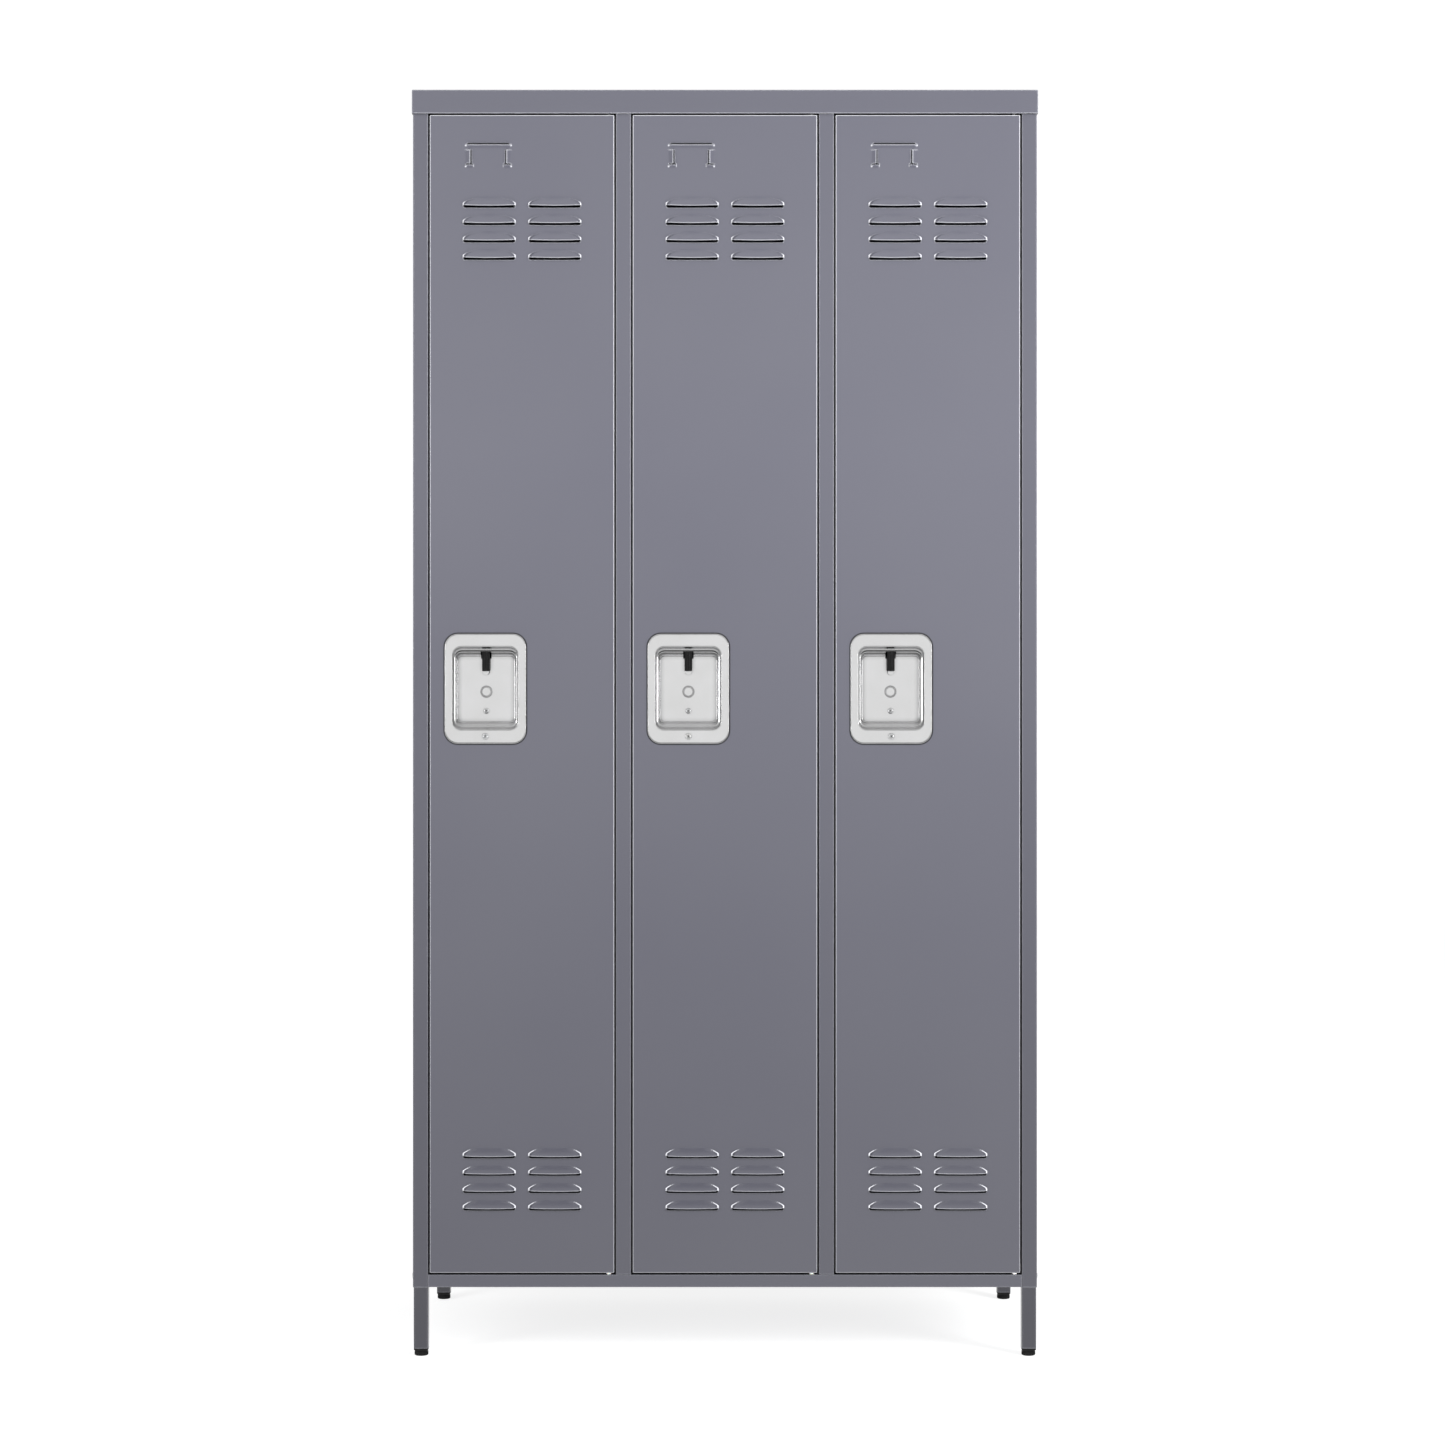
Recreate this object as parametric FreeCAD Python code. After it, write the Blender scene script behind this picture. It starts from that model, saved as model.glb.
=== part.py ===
import FreeCAD, Part
import math
import os

os.makedirs("parts", exist_ok=True)

# Three-door steel locker on four legs. Millimetres. X to the right, Y to the rear, Z up.
# The origin is on the floor, in the middle of the overall width and depth.

# --- Driving dimensions: the whole cabinet ---
HEIGHT = 1820.0
CAP_WIDTH = 900.0
DEPTH = 450.0              # louvre fronts to the rear of the cap
CAP_SKIRT = 34.0           # height of the cap's folded edge
BODY_WIDTH = 897.0
BODY_BOTTOM = 99.0         # underside of the body, where the legs start
RAIL_TOP = 117.4
POST_FACE = 22.0           # visible width of posts and mullions
DOOR_COUNT = 3
DOOR_GAP = 2.2
DOOR_DEPTH = 18.0
SHEET = 0.8
BEND = 0.6                 # inside radius of a fold
BODY_SIDES = ("left", "middle", "right")
FIT_GAP = 0.7              # between the body's sheets and the cap around them
BACK_INSET = 1.0           # from the body's side to the back panel's edge
REAR_FLANGE = 18.5         # side panel's fold behind the back panel's edge
RAIL_RETURN = 15.0         # fold under the front rail
FLOOR_FLANGE = 18.0        # fold down at the floor's rear edge
WALL_FLANGE = 15.0         # fold down at the floor's sides
PARTITION_FRONT = 9.0      # partition's fold inside the mullion
PARTITION_REAR = 12.0
HEADER_FLANGE = 10.0       # header's fold under the cap
PAST = 1.0                 # how far a cutting solid runs past what it cuts
TINY = 0.1                 # slack for finding an edge by its place, and for cuts that must meet

# --- Jamb, stops and hinges ---
STOP_SETBACK = 22.0        # stop lips behind the front face, clear of the door's swinging corner
STOP_LIP = 12.0
SILL_TOP = 130.0           # floor of the compartments, which is the stop at a door's foot
HEAD_STOP = 1774.0         # lower edge of the stop over the doors
PIVOT_FROM_EDGE = 8.0      # hinge axis from the door's right edge
PIVOT_FROM_FRONT = 5.5
PIN_RADIUS = 2.5
PIN_CLEARANCE = 0.06
PIN_LENGTH = 10.0
PIN_COLLAR = 4.4           # radius of the pin's collar inside the door
COLLAR_HEIGHT = 3.0
PIN_BELOW_RAIL = 6.0
PIN_IN_DOOR = 3.0
BUSH_RADIUS = 3.2
BUSH_WASHER = 3.7          # radius of the lower bush's washer, in the door's gap
WASHER_PLAY = 0.2          # between that washer and the door
BUSH_FLANGE = 4.2          # radius of the upper bush's flange, over the ledge
BUSH_FLANGE_HEIGHT = 3.0
BUSH_LENGTH = 5.0
DOOR_EDGE_RADIUS = 1.2     # front edges of a door

# --- Door details ---
HOOD_WALL = 1.3            # wall of a pressed hood, measured in the door's plane
LOUVRE_WIDTH = 77.0
LOUVRE_TOP_WIDTH = 40.0
LOUVRE_RISE = 14.5
LOUVRE_REACH = 5.0
LOUVRE_COLUMN_PITCH = 94.2
LOUVRE_ROW_PITCH = 25.0
LOUVRE_ROWS = 4
UPPER_LOUVRE_DROP = 130.3  # from the door's top edge to the highest opening
LOWER_LOUVRE_RISE = 91.0   # from the door's foot to the lowest opening
CARD_LEFT = 51.4           # card holder, from the door's left edge
CARD_WIDTH = 66.0
CARD_CLEAR = 50.4
CARD_TOP_DROP = 40.8
CARD_SIDE_HEIGHT = 22.0
CARD_REACH = 1.8
CARD_LIP_RISE = 6.0        # height of the upper lip, below its opening
CARD_LIP_TAPER = 6.0       # how much a lip is narrower at its root
CARD_SIDE_DROP = 7.0       # from the upper lip's opening down to the side lips
CARD_FOOT_DROP = 29.5      # from the upper lip's opening down to the foot lips under the card's corners
CARD_FOOT_OFFSET = 27.2    # from the card holder's middle
CARD_FOOT_WIDTH = 11.5
CARD_FOOT_ROOT = 7.0
CARD_FOOT_RISE = 5.0
CATCH_NOTCH = (4.5, 12.0, 3.0)  # notch for a hook in the door's lip: from the edge, below and above the hook
STIFFENER_LEFT = 180.0     # axis of the stiffener, from the door's left edge
STIFFENER_DEPTH = 14.0
STIFFENER_HALF = 12.0
STIFFENER_FLANGE = 10.0
STIFFENER_SPAN = (340.0, 1540.0)

# --- Handle pan ---
PAN_LEFT = 21.5            # from the door's left edge
PAN_WIDTH = 117.0
PAN_HEIGHT = 158.0
PAN_CORNER = 19.0
PAN_CENTRE_Z = 959.2
PAN_SHEET = 0.9
PAN_PROUD = 1.2            # front of the flange over the door's face
RECESS_CENTRE_Z = 959.9
# depth behind the flange's front, width, height, corner radius and centre height of each section
PAN_SECTIONS = (
    (0.0, 95.0, 119.7, 13.0, RECESS_CENTRE_Z),
    (10.0, 91.0, 112.0, 11.0, RECESS_CENTRE_Z - 0.6),
    (10.8, 87.5, 106.0, 9.5, RECESS_CENTRE_Z - 1.2),
    (23.0, 82.0, 98.4, 7.0, RECESS_CENTRE_Z - 1.6),
)
PAN_EDGE_RADIUS = 0.7
PAN_PLAY = 0.1             # between the recess and the hole in the door
SLOT_WIDTH = 15.0          # slot in the pan's upper wall, where the finger lift comes through
SLOT_DEPTH = 10.9          # front of the slot, from the flange's front
SLOT_HEIGHT = 16.0
KNOCKOUT_Z = 954.6
KNOCKOUT_RADIUS = 5.5
KNOCKOUT_HEIGHT = 0.5
PAN_RIVET_Z = 926.8
PAN_RIVET_HEAD = 4.0       # radius of the head
FLANGE_RIVET_Z = 890.8
FLANGE_RIVET_HEAD = 4.5
RIVET_RADIUS = 2.0
RIVET_DOME = 0.4           # height of a rivet's head over its radius
TAIL_FLARE = 1.2
TAIL_LENGTH = 1.0

# --- Latch ---
LATCH_TRAVEL = 12.0
BAR_LEFT = 3.0             # latch bar, from the door's left edge
BAR_WIDTH = 12.0
BAR_FRONT = 10.0           # from the cabinet's front face to the bar
BAR_THICK = 2.0
BAR_BOTTOM = 370.0
BAR_TOP = 1530.0
ARM_BOTTOM = 1046.0
ARM_TOP = 1058.0
CATCH_HEIGHTS = (420.0, 950.0, 1480.0)
GUIDE_HEIGHTS = (500.0, 860.0, 1400.0)
HOOK_HEIGHT = 8.0
HOOK_LEFT = 6.3            # frame hook, from the door's left edge
HOOK_THICK = 2.5
HOOK_NOSE = 2.5            # radius of the nose
HOOK_REACH = 4.0           # nose of the hook, in front of the latch bar
HOOK_BASE = (1.5, 20.0, 1.5)  # plate behind the hook: left of the door, height and thickness
WINDOW_WIDTH = 6.4         # window in the latch bar for a hook
WINDOW_OVER = 0.7          # window above the hook at rest
WINDOW_UNDER = 0.6         # window below the hook with the latch up
BUMPER_HEIGHTS = (200.0, 1700.0)
BUMPER_LEFT = 3.8
BUMPER_RADIUS = 4.0
BUMPER_EDGE = 0.8
BUMPER_GAP = 0.3           # to the closed door's lip
GUIDE_WIDTH = 18.0
GUIDE_HALF = 8.0           # half the guide's height
GUIDE_WALL = 3.0           # plastic behind the latch bar
GUIDE_PLAY = 0.35
STRAP_WIDTH = 9.4
STRAP_THICK = 1.5
STRAP_BOTTOM = 978.7
GRIP_WIDTH = 11.0
GRIP_THICK = 6.0
GRIP_BOTTOM = 984.5
GRIP_TOP = 1016.0
SPRING_LEFT = 40.0         # spring axis, from the door's left edge
SPRING_RADIUS = 3.5
SPRING_WIRE = 0.35          # radius of the wire
SPRING_LENGTH = 30.0
SPRING_TURNS = 7
SPRING_FORWARD = 1.0       # spring's axis in front of the latch bar
SEAT_HALF = (6.0, 5.0)     # spring's seat on the arm: half its width, and in front of the axis
BRACKET_HALF = 8.0
BRACKET_THICK = 1.5
BRACKET_UPRIGHT = 14.0
ARM_PAST = 8.0             # arm's end, past the pan's middle
GRIP_RIDGE = 0.8           # height of the ridge down the grip
RIDGE_HALF = 1.0
GRIP_EDGE = 1.2

# --- Compartments ---
SHELF_TOP = 1490.0
SHELF_FLANGE = 18.0
SHELF_FRONT = 8.0          # behind the stop
SHELF_REAR = 3.5           # in front of the back panel
SHELF_SIDE = 0.6
BRACKET_LEG = 15.0
BRACKET_WIDTH = 25.0
BRACKET_PLACES = (-150.0, 160.0)
ROD_RADIUS = 9.5
ROD_WALL = 1.2
ROD_BELOW_SHELF = 75.0
ROD_END = 2.2              # from the wall to the rod's end
SOCKET_RADIUS = 14.0
SOCKET_DEPTH = 9.0
SOCKET_FLOOR = 2.0
SOCKET_PLAY = 0.1

# --- Legs and feet ---
LEG_SIZE = 21.0
LEG_BOTTOM = 11.0
LEG_CORNER = 2.0
LEG_INSET = 1.0            # from the body's side
LEG_FRONT_GAP = 0.5
LEG_CLEAR = 5.0            # between a rear leg's spigot and the floor's side flange
SPIGOT_SIZE = 18.0
SPIGOT_CORNER = 1.2
SPIGOT_WALL = 1.5
SPIGOT_TOP = 128.0
SPIGOT_FOOT = 80.0         # where the spigot starts inside the tube
PLUG_PLAY = 0.2
PLUG_LENGTH = 14.0         # of the plug inside the tube
PLUG_RIM_BOTTOM = 8.5
PLUG_NECK = 18.6
PLUG_NECK_CORNER = 2.5
PAD_RADIUS = 10.0
PAD_HEIGHT = 6.3
PAD_LOWER_EDGE = 1.6
PAD_UPPER_EDGE = 0.8
STEM_RADIUS = 4.0
STEM_LENGTH = 34.0
SCREW_Z = 114.0
SCREW_HOLE = 2.5           # radius in the side panel
SCREW_RADIUS = 2.35
SPIGOT_HOLE = 2.4
SCREW_LENGTH = 6.5
SCREW_HEAD = 4.5
HEAD_HEIGHT = 1.3
HEAD_EDGE = 0.8
CROSS_LENGTH = 4.0         # cross recess in a screw's head
CROSS_WIDTH = 1.0
CROSS_DEPTH = 0.8

# --- Derived places ---
REAR = DEPTH / 2
FRONT = -REAR + LOUVRE_REACH             # front face of posts and doors
CAP_BOTTOM = HEIGHT - CAP_SKIRT
CAP_UNDERSIDE = HEIGHT - SHEET
BACK_OUTER = REAR - SHEET - FIT_GAP
BACK_INNER = BACK_OUTER - SHEET
BODY_SIDE = BODY_WIDTH / 2
JAMB = BODY_SIDE - POST_FACE             # inner side of the outer posts
STOP = FRONT + STOP_SETBACK
DOOR_WIDTH = (BODY_WIDTH - (DOOR_COUNT + 1) * POST_FACE - 2 * DOOR_COUNT * DOOR_GAP) / DOOR_COUNT
DOOR_PITCH = DOOR_WIDTH + 2 * DOOR_GAP + POST_FACE
DOOR_BOTTOM = RAIL_TOP + DOOR_GAP
DOOR_TOP = CAP_BOTTOM - DOOR_GAP
DOOR_BACK = FRONT + DOOR_DEPTH
SKIN_BACK = FRONT + SHEET
DOOR_LEFTS = [-JAMB + DOOR_GAP + i * DOOR_PITCH for i in range(DOOR_COUNT)]
MULLIONS = [left + DOOR_WIDTH + DOOR_GAP + POST_FACE / 2 for left in DOOR_LEFTS[:-1]]
WALLS = [-BODY_SIDE + SHEET / 2] + MULLIONS + [BODY_SIDE - SHEET / 2]
BAYS = [(a + SHEET / 2, b - SHEET / 2) for a, b in zip(WALLS[:-1], WALLS[1:])]
PIVOT_Y = FRONT + PIVOT_FROM_FRONT
BAR_Y = FRONT + BAR_FRONT
BAR_REAR_Y = BAR_Y + BAR_THICK
SPRING_BOTTOM = ARM_TOP + SPRING_WIRE
SPRING_Y = BAR_Y - SPRING_FORWARD
ROD_Z = SHELF_TOP - ROD_BELOW_SHELF
LEG_X = BODY_SIDE - LEG_INSET - LEG_SIZE / 2
LEG_ROWS = {"front": FRONT + LEG_FRONT_GAP + LEG_SIZE / 2, "rear": BACK_INNER - FIT_GAP - LEG_SIZE / 2}
HINGES = [left + DOOR_WIDTH - PIVOT_FROM_EDGE for left in DOOR_LEFTS]


# --- Helpers ---
def vector(x, y, z):
    return FreeCAD.Vector(x, y, z)


def block(x0, x1, y0, y1, z0, z1):
    return Part.makeBox(x1 - x0, y1 - y0, z1 - z0, vector(x0, y0, z0))


def rod(x, y, z, radius, length, axis=(0, 0, 1)):
    return Part.makeCylinder(radius, length, vector(x, y, z), vector(*axis))


def mirrored(shape):
    return shape.mirror(vector(0, 0, 0), vector(1, 0, 0))


def save(name, solids):
    shape = solids[0] if len(solids) == 1 else Part.makeCompound(solids)
    shape.exportStep("parts/" + name + ".step")


def shifted(point, direction, distance):
    return (point[0] + direction[0] * distance, point[1] + direction[1] * distance)


def folded_outline(points):
    """Edges of a sheet's section. Points run along its outer face, with the metal on their right."""
    half = SHEET / 2
    steps = [(b[0] - a[0], b[1] - a[1]) for a, b in zip(points[:-1], points[1:])]
    along = [(u / math.hypot(u, v), v / math.hypot(u, v)) for u, v in steps]
    right = [(v, -u) for u, v in along]
    middle = [shifted(points[0], right[0], half)]
    for corner, before, after in zip(points[1:-1], right[:-1], right[1:]):
        middle.append(shifted(shifted(corner, before, half), after, half))
    middle.append(shifted(points[-1], right[-1], half))
    radius = BEND + half
    sides = []
    for offset in (-half, half):
        chain = []
        last = shifted(middle[0], right[0], offset)
        for corner, into, out, r_in, r_out in zip(middle[1:-1], along[:-1], along[1:], right[:-1], right[1:]):
            turn = 1 if into[0] * r_out[0] + into[1] * r_out[1] > 0 else -1
            start = shifted(corner, into, -radius)
            centre = shifted(start, r_in, -turn * radius)
            outward = (corner[0] - centre[0], corner[1] - centre[1])
            size = math.hypot(*outward)
            outward = (outward[0] / size, outward[1] / size)
            arc_start = shifted(start, r_in, offset)
            arc_middle = shifted(centre, outward, radius + turn * offset)
            arc_end = shifted(shifted(corner, out, radius), r_out, offset)
            chain += [(last, arc_start), (arc_start, arc_middle, arc_end)]
            last = arc_end
        end = shifted(middle[-1], right[-1], offset)
        chain.append((last, end))
        sides.append(chain)
    caps = [(sides[0][0][0], sides[1][0][0]), (sides[0][-1][-1], sides[1][-1][-1])]
    return sides[0] + sides[1] + caps


def folded_sheet(points, low, high, upright=True):
    """A folded sheet: its section is in plan and runs up Z, or is seen from the side and runs along X."""
    edges = []
    for piece in folded_outline(points):
        if upright:
            places = [vector(u, v, low) for u, v in piece]
        else:
            places = [vector(low, u, v) for u, v in piece]
        edges.append(Part.makeLine(*places) if len(places) == 2 else Part.Arc(*places).toShape())
    face = Part.Face(Part.Wire(Part.__sortEdges__(edges)))
    run = high - low
    return face.extrude(vector(0, 0, run) if upright else vector(run, 0, 0))


def rounded_rectangle(x, y, z, width, height, corner):
    """Wire in an upright plane that faces the front, centred on x, z."""
    a = width / 2 - corner
    b = height / 2 - corner
    diagonal = corner * math.sqrt(0.5)
    edges = []
    for sx, sz in ((1, 1), (-1, 1), (-1, -1), (1, -1)):
        cx = x + sx * a
        cz = z + sz * b
        tips = [vector(cx + sx * corner, y, cz), vector(cx, y, cz + sz * corner)]
        edges.append(Part.Arc(tips[0], vector(cx + sx * diagonal, y, cz + sz * diagonal), tips[1]).toShape())
    for sign in (1, -1):
        level = z + sign * height / 2
        side = x + sign * width / 2
        edges.append(Part.makeLine(vector(x - a, y, level), vector(x + a, y, level)))
        edges.append(Part.makeLine(vector(side, y, z - b), vector(side, y, z + b)))
    return Part.Wire(Part.__sortEdges__(edges))


def filleted(shape, radius, chosen):
    return shape.makeFillet(radius, [edge for edge in shape.Edges if chosen(edge)])


def edge_box(edge):
    return edge.BoundBox


# --- Cabinet body ---
def side_panel():
    """Left side, folded into the front post with its stop lip, and into a flange at the rear."""
    section = [
        (-JAMB + STOP_LIP, STOP),
        (-JAMB, STOP),
        (-JAMB, FRONT),
        (-BODY_SIDE, FRONT),
        (-BODY_SIDE, BACK_INNER),
        (-BODY_SIDE + REAR_FLANGE, BACK_INNER),
    ]
    panel = folded_sheet(section, BODY_BOTTOM, CAP_UNDERSIDE)
    lip = (-JAMB - SHEET - PAST, -JAMB + STOP_LIP + PAST, STOP - BEND, STOP + SHEET + PAST)
    for low, high in ((BODY_BOTTOM, SILL_TOP), (HEAD_STOP, CAP_UNDERSIDE)):
        panel = panel.cut(block(*lip, low, high))
    for y in LEG_ROWS.values():
        panel = panel.cut(rod(-BODY_SIDE - PAST, y, SCREW_Z, SCREW_HOLE, SHEET + 2 * PAST, (1, 0, 0)))
    return panel


def mullion(x):
    """Hat-shaped upright between two doors, with a stop lip on both sides."""
    half = POST_FACE / 2
    section = [
        (x + half + STOP_LIP, STOP),
        (x + half, STOP),
        (x + half, FRONT),
        (x - half, FRONT),
        (x - half, STOP),
        (x - half - STOP_LIP, STOP),
    ]
    upright = folded_sheet(section, RAIL_TOP, CAP_BOTTOM)
    reach = half + STOP_LIP + PAST
    for low, high in ((RAIL_TOP, SILL_TOP), (HEAD_STOP, CAP_BOTTOM)):
        upright = upright.cut(block(x - reach, x + reach, STOP - BEND, STOP + SHEET + PAST, low, high))
    return upright


def partition(x):
    """Wall between two compartments. Its front edge is folded inside the mullion."""
    section = [
        (x + PARTITION_FRONT, FRONT + SHEET),
        (x - SHEET / 2, FRONT + SHEET),
        (x - SHEET / 2, BACK_INNER),
        (x + PARTITION_REAR, BACK_INNER),
    ]
    wall = folded_sheet(section, SILL_TOP, CAP_UNDERSIDE)
    reach = POST_FACE
    return wall.cut(block(x - reach, x + reach, FRONT, STOP + SHEET, HEAD_STOP, CAP_UNDERSIDE))


def back_panel():
    half = BODY_SIDE - BACK_INSET
    return block(-half, half, BACK_INNER, BACK_OUTER, BODY_BOTTOM, CAP_UNDERSIDE)


def bottom_panel():
    """Front rail, ledge for the hinge bushes, door stop and compartment floor, folded from one sheet."""
    rear = BACK_INNER - SHEET
    section = [
        (FRONT + RAIL_RETURN, BODY_BOTTOM),
        (FRONT, BODY_BOTTOM),
        (FRONT, RAIL_TOP),
        (STOP, RAIL_TOP),
        (STOP, SILL_TOP),
        (rear, SILL_TOP),
        (rear, SILL_TOP - FLOOR_FLANGE),
    ]
    panel = folded_sheet(section, -JAMB, JAMB, upright=False)
    inside = BODY_SIDE - SHEET
    for low, high in ((-inside, -JAMB), (JAMB, inside)):
        panel = panel.fuse(block(low, high, STOP + SHEET, rear - SHEET, SILL_TOP - SHEET, SILL_TOP))
        wall = (low, low + SHEET) if low < 0 else (high - SHEET, high)
        flange_rear = rear - LEG_SIZE - LEG_CLEAR
        panel = panel.fuse(block(*wall, STOP + SHEET, flange_rear, SILL_TOP - WALL_FLANGE, SILL_TOP))
    panel = panel.removeSplitter()
    for x in HINGES:
        panel = panel.cut(rod(x, PIVOT_Y, RAIL_TOP - SHEET - PAST, BUSH_RADIUS, SHEET + 2 * PAST))
    return panel


def top_rail():
    """Header behind the cap's skirt: ledge for the upper bushes, and the stop over the doors."""
    section = [
        (STOP, HEAD_STOP),
        (STOP, CAP_BOTTOM),
        (FRONT, CAP_BOTTOM),
        (FRONT, CAP_UNDERSIDE),
        (FRONT + HEADER_FLANGE, CAP_UNDERSIDE),
    ]
    rail = folded_sheet(section, -JAMB, JAMB, upright=False)
    for x in HINGES:
        rail = rail.cut(rod(x, PIVOT_Y, CAP_BOTTOM - PAST, BUSH_RADIUS, SHEET + 2 * PAST))
    return rail


def top_cover():
    """Shallow cap that laps over the body on all four sides."""
    front = FRONT - SHEET - FIT_GAP
    half = CAP_WIDTH / 2
    inner = half - SHEET
    cover = block(-half, half, front, REAR, CAP_BOTTOM, HEIGHT)
    cover = filleted(cover, BEND + SHEET, lambda edge: edge_box(edge).ZMax > CAP_BOTTOM + PAST)
    hollow = block(-inner, inner, front + SHEET, REAR - SHEET, CAP_BOTTOM - PAST, CAP_UNDERSIDE)
    hollow = filleted(hollow, BEND, lambda edge: edge_box(edge).ZMax > CAP_BOTTOM + PAST)
    return cover.cut(hollow)


# --- Inside the compartments ---
def hat_shelf(bay):
    front = STOP + SHELF_FRONT
    rear = BACK_INNER - SHELF_REAR
    section = [
        (front, SHELF_TOP - SHELF_FLANGE),
        (front, SHELF_TOP),
        (rear, SHELF_TOP),
        (rear, SHELF_TOP - SHELF_FLANGE),
    ]
    return folded_sheet(section, bay[0] + SHELF_SIDE, bay[1] - SHELF_SIDE, upright=False)


def shelf_bracket(wall, inward, y):
    """Small angle that carries a shelf's corner."""
    top = SHELF_TOP - SHEET
    upright = sorted((wall, wall + inward * BRACKET_THICK))
    seat = sorted((wall, wall + inward * BRACKET_LEG))
    angle = block(*upright, y, y + BRACKET_WIDTH, top - BRACKET_LEG, top)
    return angle.fuse(block(*seat, y, y + BRACKET_WIDTH, top - BRACKET_THICK, top)).removeSplitter()


def shelf_brackets():
    return [
        shelf_bracket(wall, inward, y)
        for bay in BAYS
        for wall, inward in ((bay[0], 1), (bay[1], -1))
        for y in BRACKET_PLACES
    ]


def hanging_rod(bay):
    width = bay[1] - bay[0]
    tube = rod(bay[0] + ROD_END, 0, ROD_Z, ROD_RADIUS, width - 2 * ROD_END, (1, 0, 0))
    return tube.cut(rod(bay[0], 0, ROD_Z, ROD_RADIUS - ROD_WALL, width, (1, 0, 0)))


def rod_socket(wall, inward):
    """Cup on the wall that holds one end of the hanging rod."""
    cup = rod(wall, 0, ROD_Z, SOCKET_RADIUS, SOCKET_DEPTH, (inward, 0, 0))
    bore = ROD_RADIUS + SOCKET_PLAY
    return cup.cut(rod(wall + inward * SOCKET_FLOOR, 0, ROD_Z, bore, SOCKET_DEPTH, (inward, 0, 0)))


def rod_sockets():
    return [rod_socket(wall, inward) for bay in BAYS for wall, inward in ((bay[0], 1), (bay[1], -1))]


# --- Door stops, hooks and hinge bushes on the frame ---
def frame_hook(left, z):
    """Hook on the stop lip that reaches through a window in the latch bar. Its nose is cut back."""
    x0 = left + HOOK_LEFT
    nose = BAR_Y - HOOK_REACH
    past, height, thick = HOOK_BASE
    base = block(left - past, x0 + HOOK_THICK, STOP - thick, STOP, z - height, z)
    blade = block(x0, x0 + HOOK_THICK, nose, STOP, z - HOOK_HEIGHT, z)

    def crosses_nose(edge):
        place = edge_box(edge)
        return place.YMax < nose + TINY and place.XLength > TINY

    blade = filleted(blade, HOOK_NOSE, crosses_nose)
    return base.fuse(blade).removeSplitter()


def frame_hooks():
    return [frame_hook(left, z) for left in DOOR_LEFTS for z in CATCH_HEIGHTS]


def door_bumper(left, z):
    pad = rod(left + BUMPER_LEFT, STOP, z, BUMPER_RADIUS, STOP - DOOR_BACK - BUMPER_GAP, (0, -1, 0))
    return filleted(pad, BUMPER_EDGE, lambda edge: edge_box(edge).YMax < STOP - PAST)


def door_bumpers():
    return [door_bumper(left, z) for left in DOOR_LEFTS for z in BUMPER_HEIGHTS]


def hinge_bushes(x):
    """Nylon bushes: the lower one has its washer in the door's gap, the upper one over the header's ledge."""
    ledge = CAP_BOTTOM + SHEET
    lower = rod(x, PIVOT_Y, RAIL_TOP - BUSH_LENGTH, BUSH_RADIUS, BUSH_LENGTH)
    lower = lower.fuse(rod(x, PIVOT_Y, RAIL_TOP, BUSH_WASHER, DOOR_GAP - WASHER_PLAY))
    upper = rod(x, PIVOT_Y, CAP_BOTTOM, BUSH_RADIUS, SHEET + BUSH_FLANGE_HEIGHT)
    upper = upper.fuse(rod(x, PIVOT_Y, ledge, BUSH_FLANGE, BUSH_FLANGE_HEIGHT))
    hole = rod(x, PIVOT_Y, 0, PIN_RADIUS + PIN_CLEARANCE, HEIGHT)
    return [lower.removeSplitter().cut(hole), upper.removeSplitter().cut(hole)]


# --- Doors ---
def hood_ring(width, root, rise):
    """Outline of a hood on the sheet: its opening lies along X at z = 0, its root at z = rise."""
    return [
        vector(-width / 2, 0, 0),
        vector(width / 2, 0, 0),
        vector(root / 2, 0, rise),
        vector(-root / 2, 0, rise),
    ]


def polygon_face(corners):
    return Part.Face(Part.makePolygon(corners + corners[:1]))


def hood(width, root, rise, reach):
    """Solid of a hood that stands out to -Y at its opening and slopes back to its root."""
    ring = hood_ring(width, root, rise)
    tip = width / 2 - reach * 0.6
    points = ring + [vector(-tip, -reach, 0), vector(tip, -reach, 0)]
    sides = ((0, 1, 2, 3), (0, 4, 5, 1), (4, 3, 2, 5), (0, 3, 4), (1, 5, 2))
    solid = Part.Solid(Part.Shell([polygon_face([points[i] for i in side]) for side in sides]))
    if solid.Volume < 0:
        solid.reverse()
    return solid


def with_hood(skin, place, turn, width, root, rise, reach):
    """Presses one hood out of the door's skin, turned about the Y axis, open on its straight side."""
    wall = HOOD_WALL
    inner = (width - 2 * wall, root - 2 * wall, rise - wall)
    outer = hood(width, root, rise, reach)
    slot = polygon_face(hood_ring(*inner)).extrude(vector(0, SHEET + TINY, 0))
    cavity = hood(*inner, reach - SHEET).fuse(slot)
    for shape in (outer, cavity):
        shape.rotate(vector(0, 0, 0), vector(0, 1, 0), turn)
        shape.translate(place)
    return skin.fuse(outer).cut(cavity)


def dome(x, y, z, radius, height):
    """Cap of a ball that stands out of an upright face towards the front."""
    ball = (radius**2 + height**2) / (2 * height)
    whole = Part.makeSphere(ball, vector(x, y + ball - height, z))
    return whole.common(block(x - ball, x + ball, y - ball, y, z - ball, z + ball))


def with_louvres(skin, left):
    centre = left + DOOR_WIDTH / 2
    rows = [DOOR_TOP - UPPER_LOUVRE_DROP - i * LOUVRE_ROW_PITCH for i in range(LOUVRE_ROWS)]
    rows += [DOOR_BOTTOM + LOWER_LOUVRE_RISE + i * LOUVRE_ROW_PITCH for i in range(LOUVRE_ROWS)]
    for z in rows:
        for side in (-0.5, 0.5):
            place = vector(centre + side * LOUVRE_COLUMN_PITCH, FRONT, z)
            skin = with_hood(skin, place, 0, LOUVRE_WIDTH, LOUVRE_TOP_WIDTH, LOUVRE_RISE, LOUVRE_REACH)
    return skin


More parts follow.
